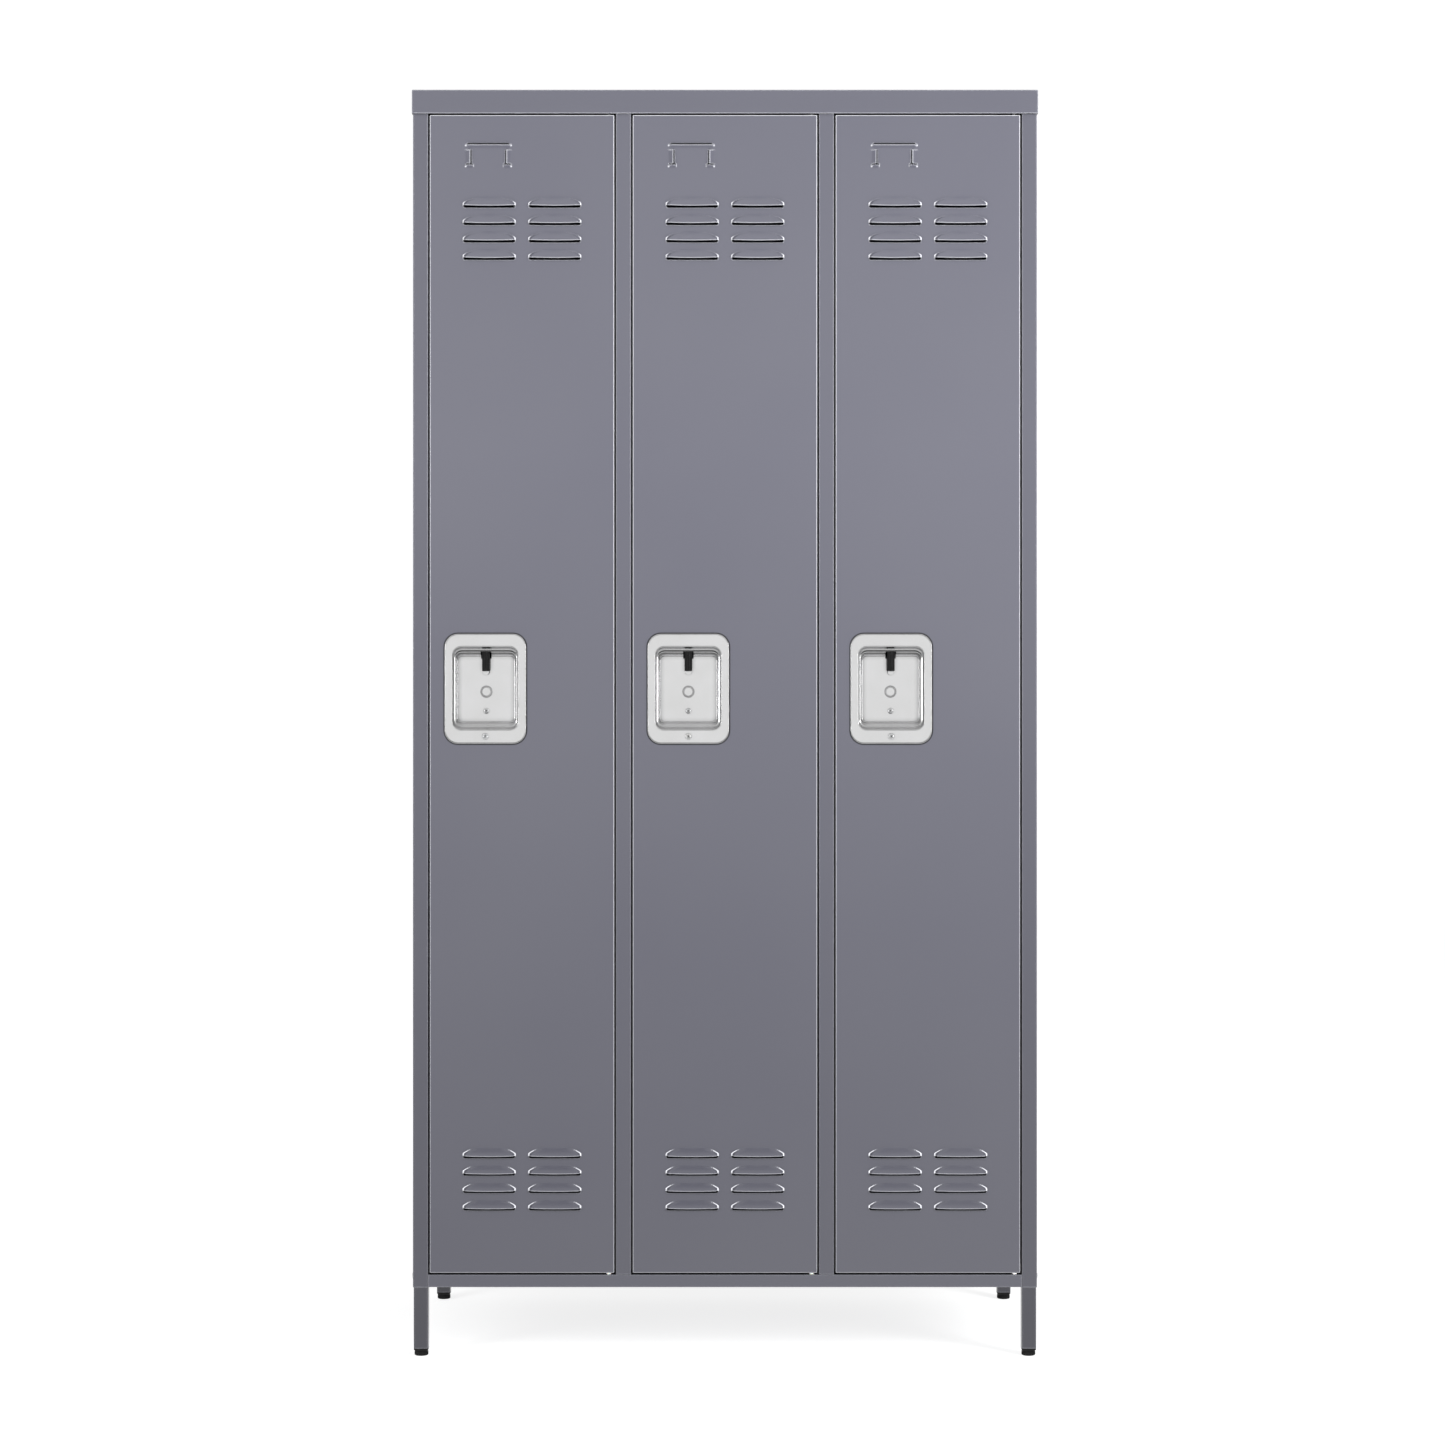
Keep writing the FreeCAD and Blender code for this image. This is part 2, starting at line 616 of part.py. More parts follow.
def with_card_holder(skin, left):
    """Lip with its opening upwards, where a card goes in, a lip on each side and two small ones it stands on."""
    middle = left + CARD_LEFT + CARD_WIDTH / 2
    top = DOOR_TOP - CARD_TOP_DROP
    strip = (CARD_WIDTH - CARD_CLEAR) / 2
    side_z = top - CARD_SIDE_DROP - CARD_SIDE_HEIGHT / 2
    lip_width = CARD_WIDTH - CARD_LIP_TAPER
    lip = (lip_width, lip_width - CARD_LIP_TAPER, CARD_LIP_RISE, CARD_REACH)
    skin = with_hood(skin, vector(middle, FRONT, top), 180, *lip)
    for side in (-1, 1):
        place = vector(middle + side * CARD_CLEAR / 2, FRONT, side_z)
        lip = (CARD_SIDE_HEIGHT, CARD_SIDE_HEIGHT - CARD_LIP_TAPER, strip, CARD_REACH)
        skin = with_hood(skin, place, side * 90, *lip)
        place = vector(middle + side * CARD_FOOT_OFFSET, FRONT, top - CARD_FOOT_DROP)
        skin = with_hood(skin, place, 180, CARD_FOOT_WIDTH, CARD_FOOT_ROOT, CARD_FOOT_RISE, CARD_REACH)
    return skin


def door_skin(left):
    """Door folded as a tray with inner lips, with louvres, card holder and the hole for the handle pan."""
    right = left + DOOR_WIDTH
    lip = STOP_LIP
    lip_front = DOOR_BACK - SHEET
    inner = (left + SHEET, right - SHEET, SKIN_BACK, lip_front, DOOR_BOTTOM + SHEET, DOOR_TOP - SHEET)
    opening = (left + lip, right - lip, lip_front - PAST, DOOR_BACK, DOOR_BOTTOM + lip, DOOR_TOP - lip)
    tray = block(left, right, FRONT, DOOR_BACK, DOOR_BOTTOM, DOOR_TOP)
    tray = filleted(tray, DOOR_EDGE_RADIUS, lambda edge: edge_box(edge).YMax < FRONT + SHEET)
    tray = tray.cut(block(*inner)).cut(block(*opening))
    notch, below, above = CATCH_NOTCH
    for z in CATCH_HEIGHTS:
        tray = tray.cut(block(left + notch, left + lip, lip_front - PAST, DOOR_BACK, z - below, z + above))
    pivot = right - PIVOT_FROM_EDGE
    run = DOOR_TOP - DOOR_BOTTOM + 2 * PAST
    tray = tray.cut(rod(pivot, PIVOT_Y, DOOR_BOTTOM - PAST, PIN_RADIUS, run))

    tray = with_card_holder(with_louvres(tray, left), left)
    pan_x = left + PAN_LEFT + PAN_WIDTH / 2
    depth, width, height, corner, z = PAN_SECTIONS[0]
    grow = PAN_SHEET + PAN_PLAY
    start = FRONT - PAST
    run = SHEET + 2 * PAST
    opening = rounded_rectangle(pan_x, start, z, width + 2 * grow, height + 2 * grow, corner + grow)
    tray = tray.cut(Part.Face(opening).extrude(vector(0, run, 0)))
    return tray.cut(rod(pan_x, start, FLANGE_RIVET_Z, RIVET_RADIUS, run, (0, 1, 0)))


def door_stiffener(left):
    """Upright channel welded behind the skin, between the two sets of louvres."""
    x = left + STIFFENER_LEFT
    half = STIFFENER_HALF
    reach = half + STIFFENER_FLANGE
    front = SKIN_BACK
    rear = SKIN_BACK + STIFFENER_DEPTH
    section = [
        (x + reach, front),
        (x + half, front),
        (x + half, rear),
        (x - half, rear),
        (x - half, front),
        (x - reach, front),
    ]
    return folded_sheet(section, *STIFFENER_SPAN)


def pan_shell(left, grow):
    """Solid of the recess, grown outwards by the sheet for its outer side."""
    x = left + PAN_LEFT + PAN_WIDTH / 2
    front = FRONT - PAN_PROUD
    wires = []
    for depth, width, height, corner, z in PAN_SECTIONS:
        size = (width + 2 * grow, height + 2 * grow, corner + grow)
        wires.append(rounded_rectangle(x, front + depth, z, *size))
    solid = Part.makeLoft(wires, True, True)
    if grow:
        last = Part.Face(wires[-1])
        solid = solid.fuse(last.extrude(vector(0, PAN_SHEET, 0)))
    return solid


def handle_pan(left):
    """Drawn pan with a flange on the door's face and a stepped recess."""
    x = left + PAN_LEFT + PAN_WIDTH / 2
    front = FRONT - PAN_PROUD
    outline = rounded_rectangle(x, front, PAN_CENTRE_Z, PAN_WIDTH, PAN_HEIGHT, PAN_CORNER)
    flange = Part.Face(outline).extrude(vector(0, PAN_PROUD, 0))
    flange = filleted(flange, PAN_EDGE_RADIUS, lambda edge: edge_box(edge).YMax < front + TINY)
    pan = flange.fuse(pan_shell(left, PAN_SHEET)).cut(pan_shell(left, 0))
    floor_y = front + PAN_SECTIONS[-1][0]
    slot_z = PAN_SECTIONS[-1][4] + PAN_SECTIONS[-1][2] / 2
    half = SLOT_WIDTH / 2
    pan = pan.cut(block(x - half, x + half, front + SLOT_DEPTH, floor_y, slot_z - TINY, slot_z + SLOT_HEIGHT))
    pan = pan.fuse(rod(x, floor_y, KNOCKOUT_Z, KNOCKOUT_RADIUS, KNOCKOUT_HEIGHT, (0, -1, 0)))
    for y, z in ((floor_y, PAN_RIVET_Z), (front, FLANGE_RIVET_Z)):
        pan = pan.cut(rod(x, y - PAST, z, RIVET_RADIUS, 2 * PAST + PAN_PROUD, (0, 1, 0)))
    return pan


def rivet(x, y, z, head, grip):
    """Domed rivet seen from the front, with its tail behind the sheet."""
    shank = rod(x, y, z, RIVET_RADIUS, grip, (0, 1, 0))
    tail = rod(x, y + grip, z, RIVET_RADIUS + TAIL_FLARE, TAIL_LENGTH, (0, 1, 0))
    return dome(x, y, z, head, head * RIVET_DOME).fuse([shank, tail])


def pan_rivets(left):
    x = left + PAN_LEFT + PAN_WIDTH / 2
    front = FRONT - PAN_PROUD
    floor_y = front + PAN_SECTIONS[-1][0]
    lower = rivet(x, front, FLANGE_RIVET_Z, FLANGE_RIVET_HEAD, PAN_PROUD + SHEET)
    return [rivet(x, floor_y, PAN_RIVET_Z, PAN_RIVET_HEAD, PAN_SHEET), lower]


def latch_guide(left, z):
    """Plastic block on the door that the latch bar slides through."""
    x0 = left + SHEET
    bar = left + BAR_LEFT
    gap = GUIDE_PLAY
    cut = GUIDE_HALF + PAST
    guide = block(x0, x0 + GUIDE_WIDTH, SKIN_BACK, BAR_REAR_Y + GUIDE_WALL, z - GUIDE_HALF, z + GUIDE_HALF)
    return guide.cut(block(bar - gap, bar + BAR_WIDTH + gap, BAR_Y - gap, BAR_REAR_Y + gap, z - cut, z + cut))


def spring_bracket(left):
    """Steel angle welded behind the skin, over the return spring."""
    x = left + SPRING_LEFT
    z = ARM_TOP + SPRING_LENGTH
    sides = (x - BRACKET_HALF, x + BRACKET_HALF)
    shelf = block(*sides, SKIN_BACK, BAR_REAR_Y, z, z + BRACKET_THICK)
    upright = block(*sides, SKIN_BACK, SKIN_BACK + BRACKET_THICK, z, z + BRACKET_UPRIGHT)
    return shelf.fuse(upright).removeSplitter()


def latch_guides(left):
    return [latch_guide(left, z) for z in GUIDE_HEIGHTS] + [spring_bracket(left)]


def hinge_pins(left):
    """Shouldered pins that stand out of the door's top and foot at its right-hand corners."""
    x = left + DOOR_WIDTH - PIVOT_FROM_EDGE
    lower = rod(x, PIVOT_Y, RAIL_TOP - PIN_BELOW_RAIL, PIN_RADIUS, PIN_LENGTH)
    lower = lower.fuse(rod(x, PIVOT_Y, DOOR_BOTTOM + SHEET, PIN_COLLAR, COLLAR_HEIGHT))
    upper = rod(x, PIVOT_Y, DOOR_TOP - PIN_IN_DOOR, PIN_RADIUS, PIN_LENGTH)
    upper = upper.fuse(rod(x, PIVOT_Y, DOOR_TOP - SHEET - COLLAR_HEIGHT, PIN_COLLAR, COLLAR_HEIGHT))
    return [lower.removeSplitter(), upper.removeSplitter()]


# --- Latch, which the finger lift raises ---
def latch_bar(left):
    """Upright bar with a window at each frame hook, and an arm over the pan to the finger lift."""
    x0 = left + BAR_LEFT
    bar = block(x0, x0 + BAR_WIDTH, BAR_Y, BAR_REAR_Y, BAR_BOTTOM, BAR_TOP)
    arm_end = left + PAN_LEFT + PAN_WIDTH / 2 + ARM_PAST
    bar = bar.fuse(block(x0, arm_end, BAR_Y, BAR_REAR_Y, ARM_BOTTOM, ARM_TOP))
    seat_x = left + SPRING_LEFT
    half, front = SEAT_HALF
    seat = (seat_x - half, seat_x + half, SPRING_Y - front, BAR_REAR_Y)
    bar = bar.fuse(block(*seat, ARM_TOP - BAR_THICK, ARM_TOP))
    bar = bar.removeSplitter()
    side = left + HOOK_LEFT + (HOOK_THICK - WINDOW_WIDTH) / 2
    window = (side, side + WINDOW_WIDTH, BAR_Y - PAST, BAR_REAR_Y + PAST)
    for z in CATCH_HEIGHTS:
        low = z - HOOK_HEIGHT - LATCH_TRAVEL - WINDOW_UNDER
        bar = bar.cut(block(*window, low, z + WINDOW_OVER))
    return bar


def finger_strap(left):
    """Steel strap through the pan's upper slot, rounded at its lower end."""
    x = left + PAN_LEFT + PAN_WIDTH / 2
    half = STRAP_WIDTH / 2
    low = STRAP_BOTTOM + half
    strap = block(x - half, x + half, BAR_REAR_Y, BAR_REAR_Y + STRAP_THICK, low, ARM_TOP)
    return strap.fuse(rod(x, BAR_REAR_Y, low, half, STRAP_THICK, (0, 1, 0))).removeSplitter()


def finger_grip(left):
    """Moulded sleeve over the strap, with a ridge down its front."""
    x = left + PAN_LEFT + PAN_WIDTH / 2
    half = GRIP_WIDTH / 2
    middle = BAR_REAR_Y + STRAP_THICK / 2
    front = middle - GRIP_THICK / 2
    rear = middle + GRIP_THICK / 2
    sleeve = block(x - half, x + half, front + GRIP_RIDGE, rear, GRIP_BOTTOM, GRIP_TOP)
    sleeve = filleted(sleeve, GRIP_EDGE, lambda edge: edge_box(edge).ZLength > GRIP_TOP - GRIP_BOTTOM - PAST)
    sleeve = sleeve.fuse(block(x - RIDGE_HALF, x + RIDGE_HALF, front, middle, GRIP_BOTTOM, GRIP_TOP))
    return sleeve.removeSplitter().cut(finger_strap(left))


def latch_spring(left):
    """Compression spring between the arm's seat and the bracket on the door."""
    run = SPRING_LENGTH - 2 * SPRING_WIRE
    helix = Part.makeHelix(run / SPRING_TURNS, run, SPRING_RADIUS)
    circle = Part.makeCircle(SPRING_WIRE, vector(SPRING_RADIUS, 0, 0), vector(0, 1, 0))
    coil = Part.Wire(helix).makePipeShell([Part.Wire(circle)], True, True)
    coil.translate(vector(left + SPRING_LEFT, SPRING_Y, SPRING_BOTTOM))
    return coil


# --- Legs and levelling feet ---
def square_bar(x, y, size, low, high, corner):
    half = size / 2
    bar = block(x - half, x + half, y - half, y + half, low, high)
    return filleted(bar, corner, lambda edge: edge_box(edge).ZLength > (high - low) / 2)


def leg(x, y):
    """Square tube with a welded spigot that goes up inside the body's corner."""
    bore = SPIGOT_SIZE - 2 * SPIGOT_WALL
    tube = square_bar(x, y, LEG_SIZE, LEG_BOTTOM, BODY_BOTTOM, LEG_CORNER)
    tube = tube.fuse(square_bar(x, y, SPIGOT_SIZE, BODY_BOTTOM, SPIGOT_TOP, SPIGOT_CORNER))
    tube = tube.cut(square_bar(x, y, SPIGOT_SIZE, LEG_BOTTOM - PAST, SPIGOT_FOOT, SPIGOT_CORNER))
    tube = tube.cut(square_bar(x, y, bore, SPIGOT_FOOT - PAST, SPIGOT_TOP + PAST, SPIGOT_CORNER / 2))
    outward = 1 if x > 0 else -1
    return tube.cut(rod(x, y, SCREW_Z, SPIGOT_HOLE, LEG_SIZE, (outward, 0, 0)))


def foot_plug(x, y):
    """Plastic insert in the tube's end: a rim, a shorter neck below it and a bore for the foot's stem."""
    plug = square_bar(x, y, SPIGOT_SIZE - PLUG_PLAY, LEG_BOTTOM, LEG_BOTTOM + PLUG_LENGTH, SPIGOT_CORNER)
    plug = plug.fuse(square_bar(x, y, LEG_SIZE, PLUG_RIM_BOTTOM, LEG_BOTTOM, LEG_CORNER))
    neck = square_bar(x, y, PLUG_NECK, PAD_HEIGHT + PLUG_PLAY, PLUG_RIM_BOTTOM, PLUG_NECK_CORNER)
    plug = plug.fuse(neck).removeSplitter()
    return plug.cut(rod(x, y, 0, STEM_RADIUS + PIN_CLEARANCE, STEM_LENGTH))


def levelling_foot(x, y):
    """Round glide on a threaded stem, drawn fully screwed in."""
    pad = rod(x, y, 0, PAD_RADIUS, PAD_HEIGHT)
    pad = filleted(pad, PAD_LOWER_EDGE, lambda edge: edge_box(edge).ZMax < TINY)
    pad = filleted(pad, PAD_UPPER_EDGE, lambda edge: edge_box(edge).ZMin > PAD_HEIGHT - TINY)
    return pad.fuse(rod(x, y, PAD_HEIGHT, STEM_RADIUS, STEM_LENGTH)).removeSplitter()


def leg_screw(x, y):
    """Pan-head screw through the body's side into the leg's spigot."""
    outward = 1 if x > 0 else -1
    axis = (outward, 0, 0)
    face = outward * (BODY_SIDE + HEAD_HEIGHT)
    head = rod(outward * BODY_SIDE, y, SCREW_Z, SCREW_HEAD, HEAD_HEIGHT, axis)
    head = filleted(head, HEAD_EDGE, lambda edge: abs(edge_box(edge).Center.x) > abs(face) - TINY)
    shank = rod(outward * (BODY_SIDE - SCREW_LENGTH), y, SCREW_Z, SCREW_RADIUS, SCREW_LENGTH, axis)
    half = CROSS_WIDTH / 2
    reach = CROSS_LENGTH / 2
    depth = (face - CROSS_DEPTH, face + CROSS_DEPTH)
    cross = block(*depth, y - half, y + half, SCREW_Z - reach, SCREW_Z + reach)
    cross = cross.fuse(block(*depth, y - reach, y + reach, SCREW_Z - half, SCREW_Z + half))
    return head.fuse(shank).removeSplitter().cut(cross)


def leg_places():
    return {
        row + "_" + side: (sign * LEG_X, y)
        for row, y in LEG_ROWS.items()
        for side, sign in (("left", -1), ("right", 1))
    }


# --- Build every node ---
def build_body():
    save("side_panel_left", [side_panel()])
    save("side_panel_right", [mirrored(side_panel())])
    for side, x in zip(("left", "right"), MULLIONS):
        save("mullion_" + side, [mullion(x)])
        save("partition_" + side, [partition(x)])
    save("back_panel", [back_panel()])
    save("bottom_panel", [bottom_panel()])
    save("top_rail", [top_rail()])
    save("top_cover", [top_cover()])
    for side, bay in zip(BODY_SIDES, BAYS):
        save("hat_shelf_" + side, [hat_shelf(bay)])
    save("shelf_brackets", shelf_brackets())
    save("hanging_rods", [hanging_rod(bay) for bay in BAYS])
    save("rod_sockets", rod_sockets())
    save("frame_hooks", frame_hooks())
    save("door_bumpers", door_bumpers())
    save("hinge_bushes", [bush for x in HINGES for bush in hinge_bushes(x)])


def build_doors():
    for side, left in zip(BODY_SIDES, DOOR_LEFTS):
        save("door_skin_" + side, [door_skin(left)])
        save("door_stiffener_" + side, [door_stiffener(left)])
        save("handle_pan_" + side, [handle_pan(left)])
        save("pan_rivets_" + side, pan_rivets(left))
        save("latch_guides_" + side, latch_guides(left))
        save("hinge_pins_" + side, hinge_pins(left))
        save("latch_bar_" + side, [latch_bar(left)])
        save("finger_lift_" + side, [finger_strap(left)])
        save("finger_grip_" + side, [finger_grip(left)])
        save("latch_spring_" + side, [latch_spring(left)])


def build_legs():
    places = leg_places()
    for name, (x, y) in places.items():
        save("leg_" + name, [leg(x, y)])
        save("levelling_foot_" + name, [levelling_foot(x, y)])
    save("foot_plugs", [foot_plug(x, y) for x, y in places.values()])
    save("leg_screws", [leg_screw(x, y) for x, y in places.values()])


build_body()
build_doors()
build_legs()
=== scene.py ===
import math

import bmesh
import bpy
from mathutils import Matrix, Vector
from mathutils.geometry import delaunay_2d_cdt


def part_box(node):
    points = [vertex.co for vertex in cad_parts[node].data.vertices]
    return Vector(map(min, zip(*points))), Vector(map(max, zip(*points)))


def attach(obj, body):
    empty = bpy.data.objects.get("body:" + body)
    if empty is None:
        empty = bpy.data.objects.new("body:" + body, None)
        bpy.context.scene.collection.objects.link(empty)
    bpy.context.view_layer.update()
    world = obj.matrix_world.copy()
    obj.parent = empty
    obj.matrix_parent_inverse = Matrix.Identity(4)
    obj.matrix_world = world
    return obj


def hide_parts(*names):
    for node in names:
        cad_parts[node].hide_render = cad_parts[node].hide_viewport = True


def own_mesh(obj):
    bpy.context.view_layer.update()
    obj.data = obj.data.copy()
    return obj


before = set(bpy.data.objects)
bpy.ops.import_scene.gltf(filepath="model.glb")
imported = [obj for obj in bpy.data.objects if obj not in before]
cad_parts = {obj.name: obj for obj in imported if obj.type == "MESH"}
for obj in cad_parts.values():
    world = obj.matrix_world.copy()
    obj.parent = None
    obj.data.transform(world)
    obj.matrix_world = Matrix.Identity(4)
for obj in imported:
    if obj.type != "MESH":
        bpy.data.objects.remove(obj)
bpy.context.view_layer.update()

# A three-door steel locker on four legs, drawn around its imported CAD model.
# Lengths in this script are millimetres until a mesh is made. X is to the right, Y to the rear, Z up.

MM = 0.001
SIDES = ("left", "middle", "right")
FEET = ("front_left", "front_right", "rear_left", "rear_right")


def node_box(name):
    """Least and greatest corner of a CAD node, in millimetres."""
    low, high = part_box(name)
    return [v / MM for v in low], [v / MM for v in high]


# --- Places taken from the CAD ---
FRONT = node_box("mullion_left")[0][1]
DOORS = {side: node_box("door_skin_" + side) for side in SIDES}
PANS = {side: node_box("handle_pan_" + side) for side in SIDES}
DOOR_LOW, DOOR_HIGH = DOORS["left"]
DOOR_WIDTH = DOOR_HIGH[0] - DOOR_LOW[0]
DOOR_BOTTOM = DOOR_LOW[2]
DOOR_TOP = DOOR_HIGH[2]
DOOR_DEPTH = DOOR_HIGH[1] - FRONT
PAN_LOW, PAN_HIGH = PANS["left"]
PAN_PROUD = FRONT - PAN_LOW[1]
PAN_WIDTH = PAN_HIGH[0] - PAN_LOW[0]
PAN_HEIGHT = PAN_HIGH[2] - PAN_LOW[2]
PAN_MIDDLE = (PAN_LOW[0] + PAN_HIGH[0]) / 2 - DOOR_LOW[0]
PAN_CENTRE = (PAN_LOW[2] + PAN_HIGH[2]) / 2

# --- Door details ---
SHEET = 0.8
DOOR_EDGE = 1.2            # radius of the door's front edges
REAR_EDGE = 1.4            # radius of the folds behind
LIP = 12.0                 # inner lip of the door
LIP_NOTCH = 4.5            # from the door's edge to the notches for the hooks
CATCH_HEIGHTS = (420.0, 950.0, 1480.0)
NOTCH_BELOW = 12.0
NOTCH_ABOVE = 3.0
CORNER_STEPS = 4

LOUVRE_HALF = 38.0
LOUVRE_REACH = 5.0
LOUVRE_RISE = 14.5
LOUVRE_SIDE = 4.5          # width of a louvre's end walls at its lip
LOUVRE_SIDE_SPREAD = 8.0   # how much wider they are at its top
LOUVRE_TAPER = 40.0        # how fast it gets narrower upwards
LOUVRE_TOP_HALF = 4.0
LOUVRE_CURVE = 1.6
LOUVRE_PITCH = 94.2
LOUVRE_ROW = 25.0
LOUVRE_ROWS = 4
UPPER_LOUVRE_DROP = 130.6  # from the door's top to the first upper row
LOWER_LOUVRE_RISE = 92.6   # from its bottom to the first lower row
UPPER_END_HIGHLIGHT = 6.4       # height of the painted highlights on the ends of a louvre
LOWER_END_HIGHLIGHT = 10.5
LOUVRE_LIP = 0.1           # height of the lip's middle over the louvre's base line
LOUVRE_LIP_BOW = 0.9       # how much the lip's ends are higher than its middle
LOUVRE_SLIT = 2.4          # depth of the slit below the base line

CARD_LEFT = 51.4
CARD_WIDTH = 66.0
CARD_TOP_DROP = 40.8
CARD_REACH = 1.8
CARD_SIDE_SLIT = (24.3, 26.0)
CARD_FOOT_SLIT = (29.0, 30.8)
CARD_HIGHLIGHT_SPOT = 32.6         # from the middle to the painted highlights on the corners of the lips
CARD_HIGHLIGHT_SIZE = 1.9

# painted shade in a seam, and the painted highlight (positive) and painted shade (negative) of the loops
# round a door's front edge from its face to its side
SEAM_PAINTED_SHADE = -0.95
EDGE_PAINTED_LIGHT = (0.0, 0.9, 1.0, 0.1, -0.9, -1.0)
# distance from the flange's edge and painted shadow of the loops on the door round the handle pan
FLANGE_PAINTED_SHADOW = ((2.0, 0.0), (1.5, SEAM_PAINTED_SHADE), (-0.6, SEAM_PAINTED_SHADE), (-1.4, 0.0))

# depth, width, height, corner radius and centre height of each section of the handle pan
PAN_SECTIONS = (
    (PAN_PROUD, PAN_WIDTH, PAN_HEIGHT, 19.0, PAN_CENTRE),
    (0.0, PAN_WIDTH, PAN_HEIGHT, 19.0, PAN_CENTRE),
    (0.0, 95.0, 119.7, 13.0, PAN_CENTRE + 0.7),
    (10.0, 91.0, 112.0, 11.0, PAN_CENTRE + 0.1),
    (10.8, 87.5, 106.0, 9.5, PAN_CENTRE - 0.5),
    (23.0, 84.0, 97.0, 7.0, PAN_CENTRE - 0.4),
    (23.0, 74.0, 87.0, 4.0, PAN_CENTRE - 0.4),
)
# reach of the rounding before and after each inner section
PAN_ROUNDING = ((1.1, 1.7), (0.9, 1.0), (1.0, 0.5), (0.5, 1.0), (2.2, 2.4))
PAN_MOUTH = PAN_SECTIONS[2]
PAN_LEDGE = PAN_SECTIONS[4][0]
PAN_FLOOR = PAN_SECTIONS[5][0]
PAN_SHEET = 0.9
PAN_CORNER_STEPS = 8
SLOT_HALF = 7.5            # of the finger lift's slot in the pan's upper wall
KNOCKOUT_Z = 954.6
# radius and depth of the rings of the knock-out for a lock
KNOCKOUT = (
    (9.2, 0.0), (8.7, 0.03), (8.35, 0.16), (8.0, 0.25), (7.65, 0.16), (7.3, 0.03),
    (6.9, 0.0), (6.5, -0.02), (6.2, -0.12), (5.9, -0.20), (5.5, -0.22), (1.6, -0.22),
)
RIVET_Z = 926.8
RIVET_RADIUS = 4.0
FLANGE_RIVET_Z = 890.8
FLANGE_RIVET_RADIUS = 4.5
RIVET_CROWN = 1.7          # radius of the flat round a rivet's hole

MERGE = 0.004              # points nearer than this are one


# --- Mesh helpers ---
class Sheet:
    """Points in millimetres and faces, gathered before a mesh is made."""

    def __init__(self):
        self.points = []
        self.painted_light = []
        self.faces = []

    def add(self, points, painted_light=0.0):
        """Adds points and their painted light: 1 for a painted highlight, 0 for plain paint, -1 for painted
        shade in a seam.
        """
        first = len(self.points)
        self.points.extend(points)
        self.painted_light.extend(painted_light if isinstance(painted_light, list) else [painted_light] * len(points))
        return list(range(first, first + len(points)))

    def bridge(self, outer, inner, closed=True, skip=None):
        """Quads between two rows of the same length. outer comes first in the winding."""
        count = len(outer)
        for i in range(count if closed else count - 1):
            j = (i + 1) % count
            if skip and skip(i):
                continue
            self.faces.append((outer[i], outer[j], inner[j], inner[i]))

    def grid(self, rows, keep=None, painted_light=None):
        """Quads over rows of points. Row and column grow along the winding's first and second side."""
        ids = [self.add(row, painted_light[r] if painted_light else 0.0) for r, row in enumerate(rows)]
        for r in range(len(ids) - 1):
            for c in range(len(ids[r]) - 1):
                if keep and not keep(r, c):
                    continue
                self.faces.append((ids[r][c], ids[r][c + 1], ids[r + 1][c + 1], ids[r + 1][c]))
        return ids

    def cap(self, ring):
        """One face over a whole ring."""
        self.faces.append(tuple(ring))


def mesh_of(name, sheet, sharp=35.0):
    """A mesh in metres, with doubled points merged and sharp edges marked by angle."""
    mesh = bpy.data.meshes.new(name)
    mesh.from_pydata([Vector(p) * MM for p in sheet.points], [], sheet.faces)
    mesh.attributes.new("painted_light", "FLOAT", "POINT").data.foreach_set("value", sheet.painted_light)
    edit = bmesh.new()
    edit.from_mesh(mesh)
    bmesh.ops.remove_doubles(edit, verts=edit.verts, dist=MERGE * MM)
    loose = [v for v in edit.verts if not v.link_faces]
    bmesh.ops.delete(edit, geom=loose, context="VERTS")
    edit.to_mesh(mesh)
    edit.free()
    mesh.shade_smooth()
    mesh.set_sharp_from_angle(angle=math.radians(sharp))
    return mesh


def thickened(mesh, thickness, sharp):
    """The sheet given its thickness on its inner side, which has no painted highlight or shade."""
    holder = bpy.data.objects.new("holder", mesh)
    bpy.context.scene.collection.objects.link(holder)
    solid = holder.modifiers.new("solid", "SOLIDIFY")
    solid.thickness = thickness * MM
    solid.offset = -1.0
    solid.use_even_offset = True
    solid.thickness_clamp = 0.0
    graph = bpy.context.evaluated_depsgraph_get()
    made = bpy.data.meshes.new_from_object(holder.evaluated_get(graph))
    bpy.data.objects.remove(holder)
    for inner in made.attributes["painted_light"].data[len(mesh.vertices):]:
        inner.value = 0.0
    made.shade_smooth()
    made.set_sharp_from_angle(angle=math.radians(sharp))
    return made


def piece(name, mesh, body, slot, nodes, shift=(0.0, 0.0, 0.0), weighted=True):
    """An object for a mesh, riding on its body and standing for its CAD nodes."""
    own = mesh.copy()
    own.name = name
    own.transform(Matrix.Translation(Vector(shift) * MM))
    made = bpy.data.objects.new(name, own)
    bpy.context.scene.collection.objects.link(made)
    own.materials.clear()
    own.materials.append(MATERIALS[slot])
    if weighted:
        normals = made.modifiers.new("normals", "WEIGHTED_NORMAL")
        normals.keep_sharp = True
    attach(made, body)
    if nodes:
        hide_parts(*nodes)
    return made


def smooth(value):
    """A soft step from 0 at 0 to 1 at 1."""
    value = min(1.0, max(0.0, value))
    return value * value * (3 - 2 * value)


def mix(a, b, share):
    """The point that lies a share of the way from a to b."""
    return [p + (q - p) * share for p, q in zip(a, b)]


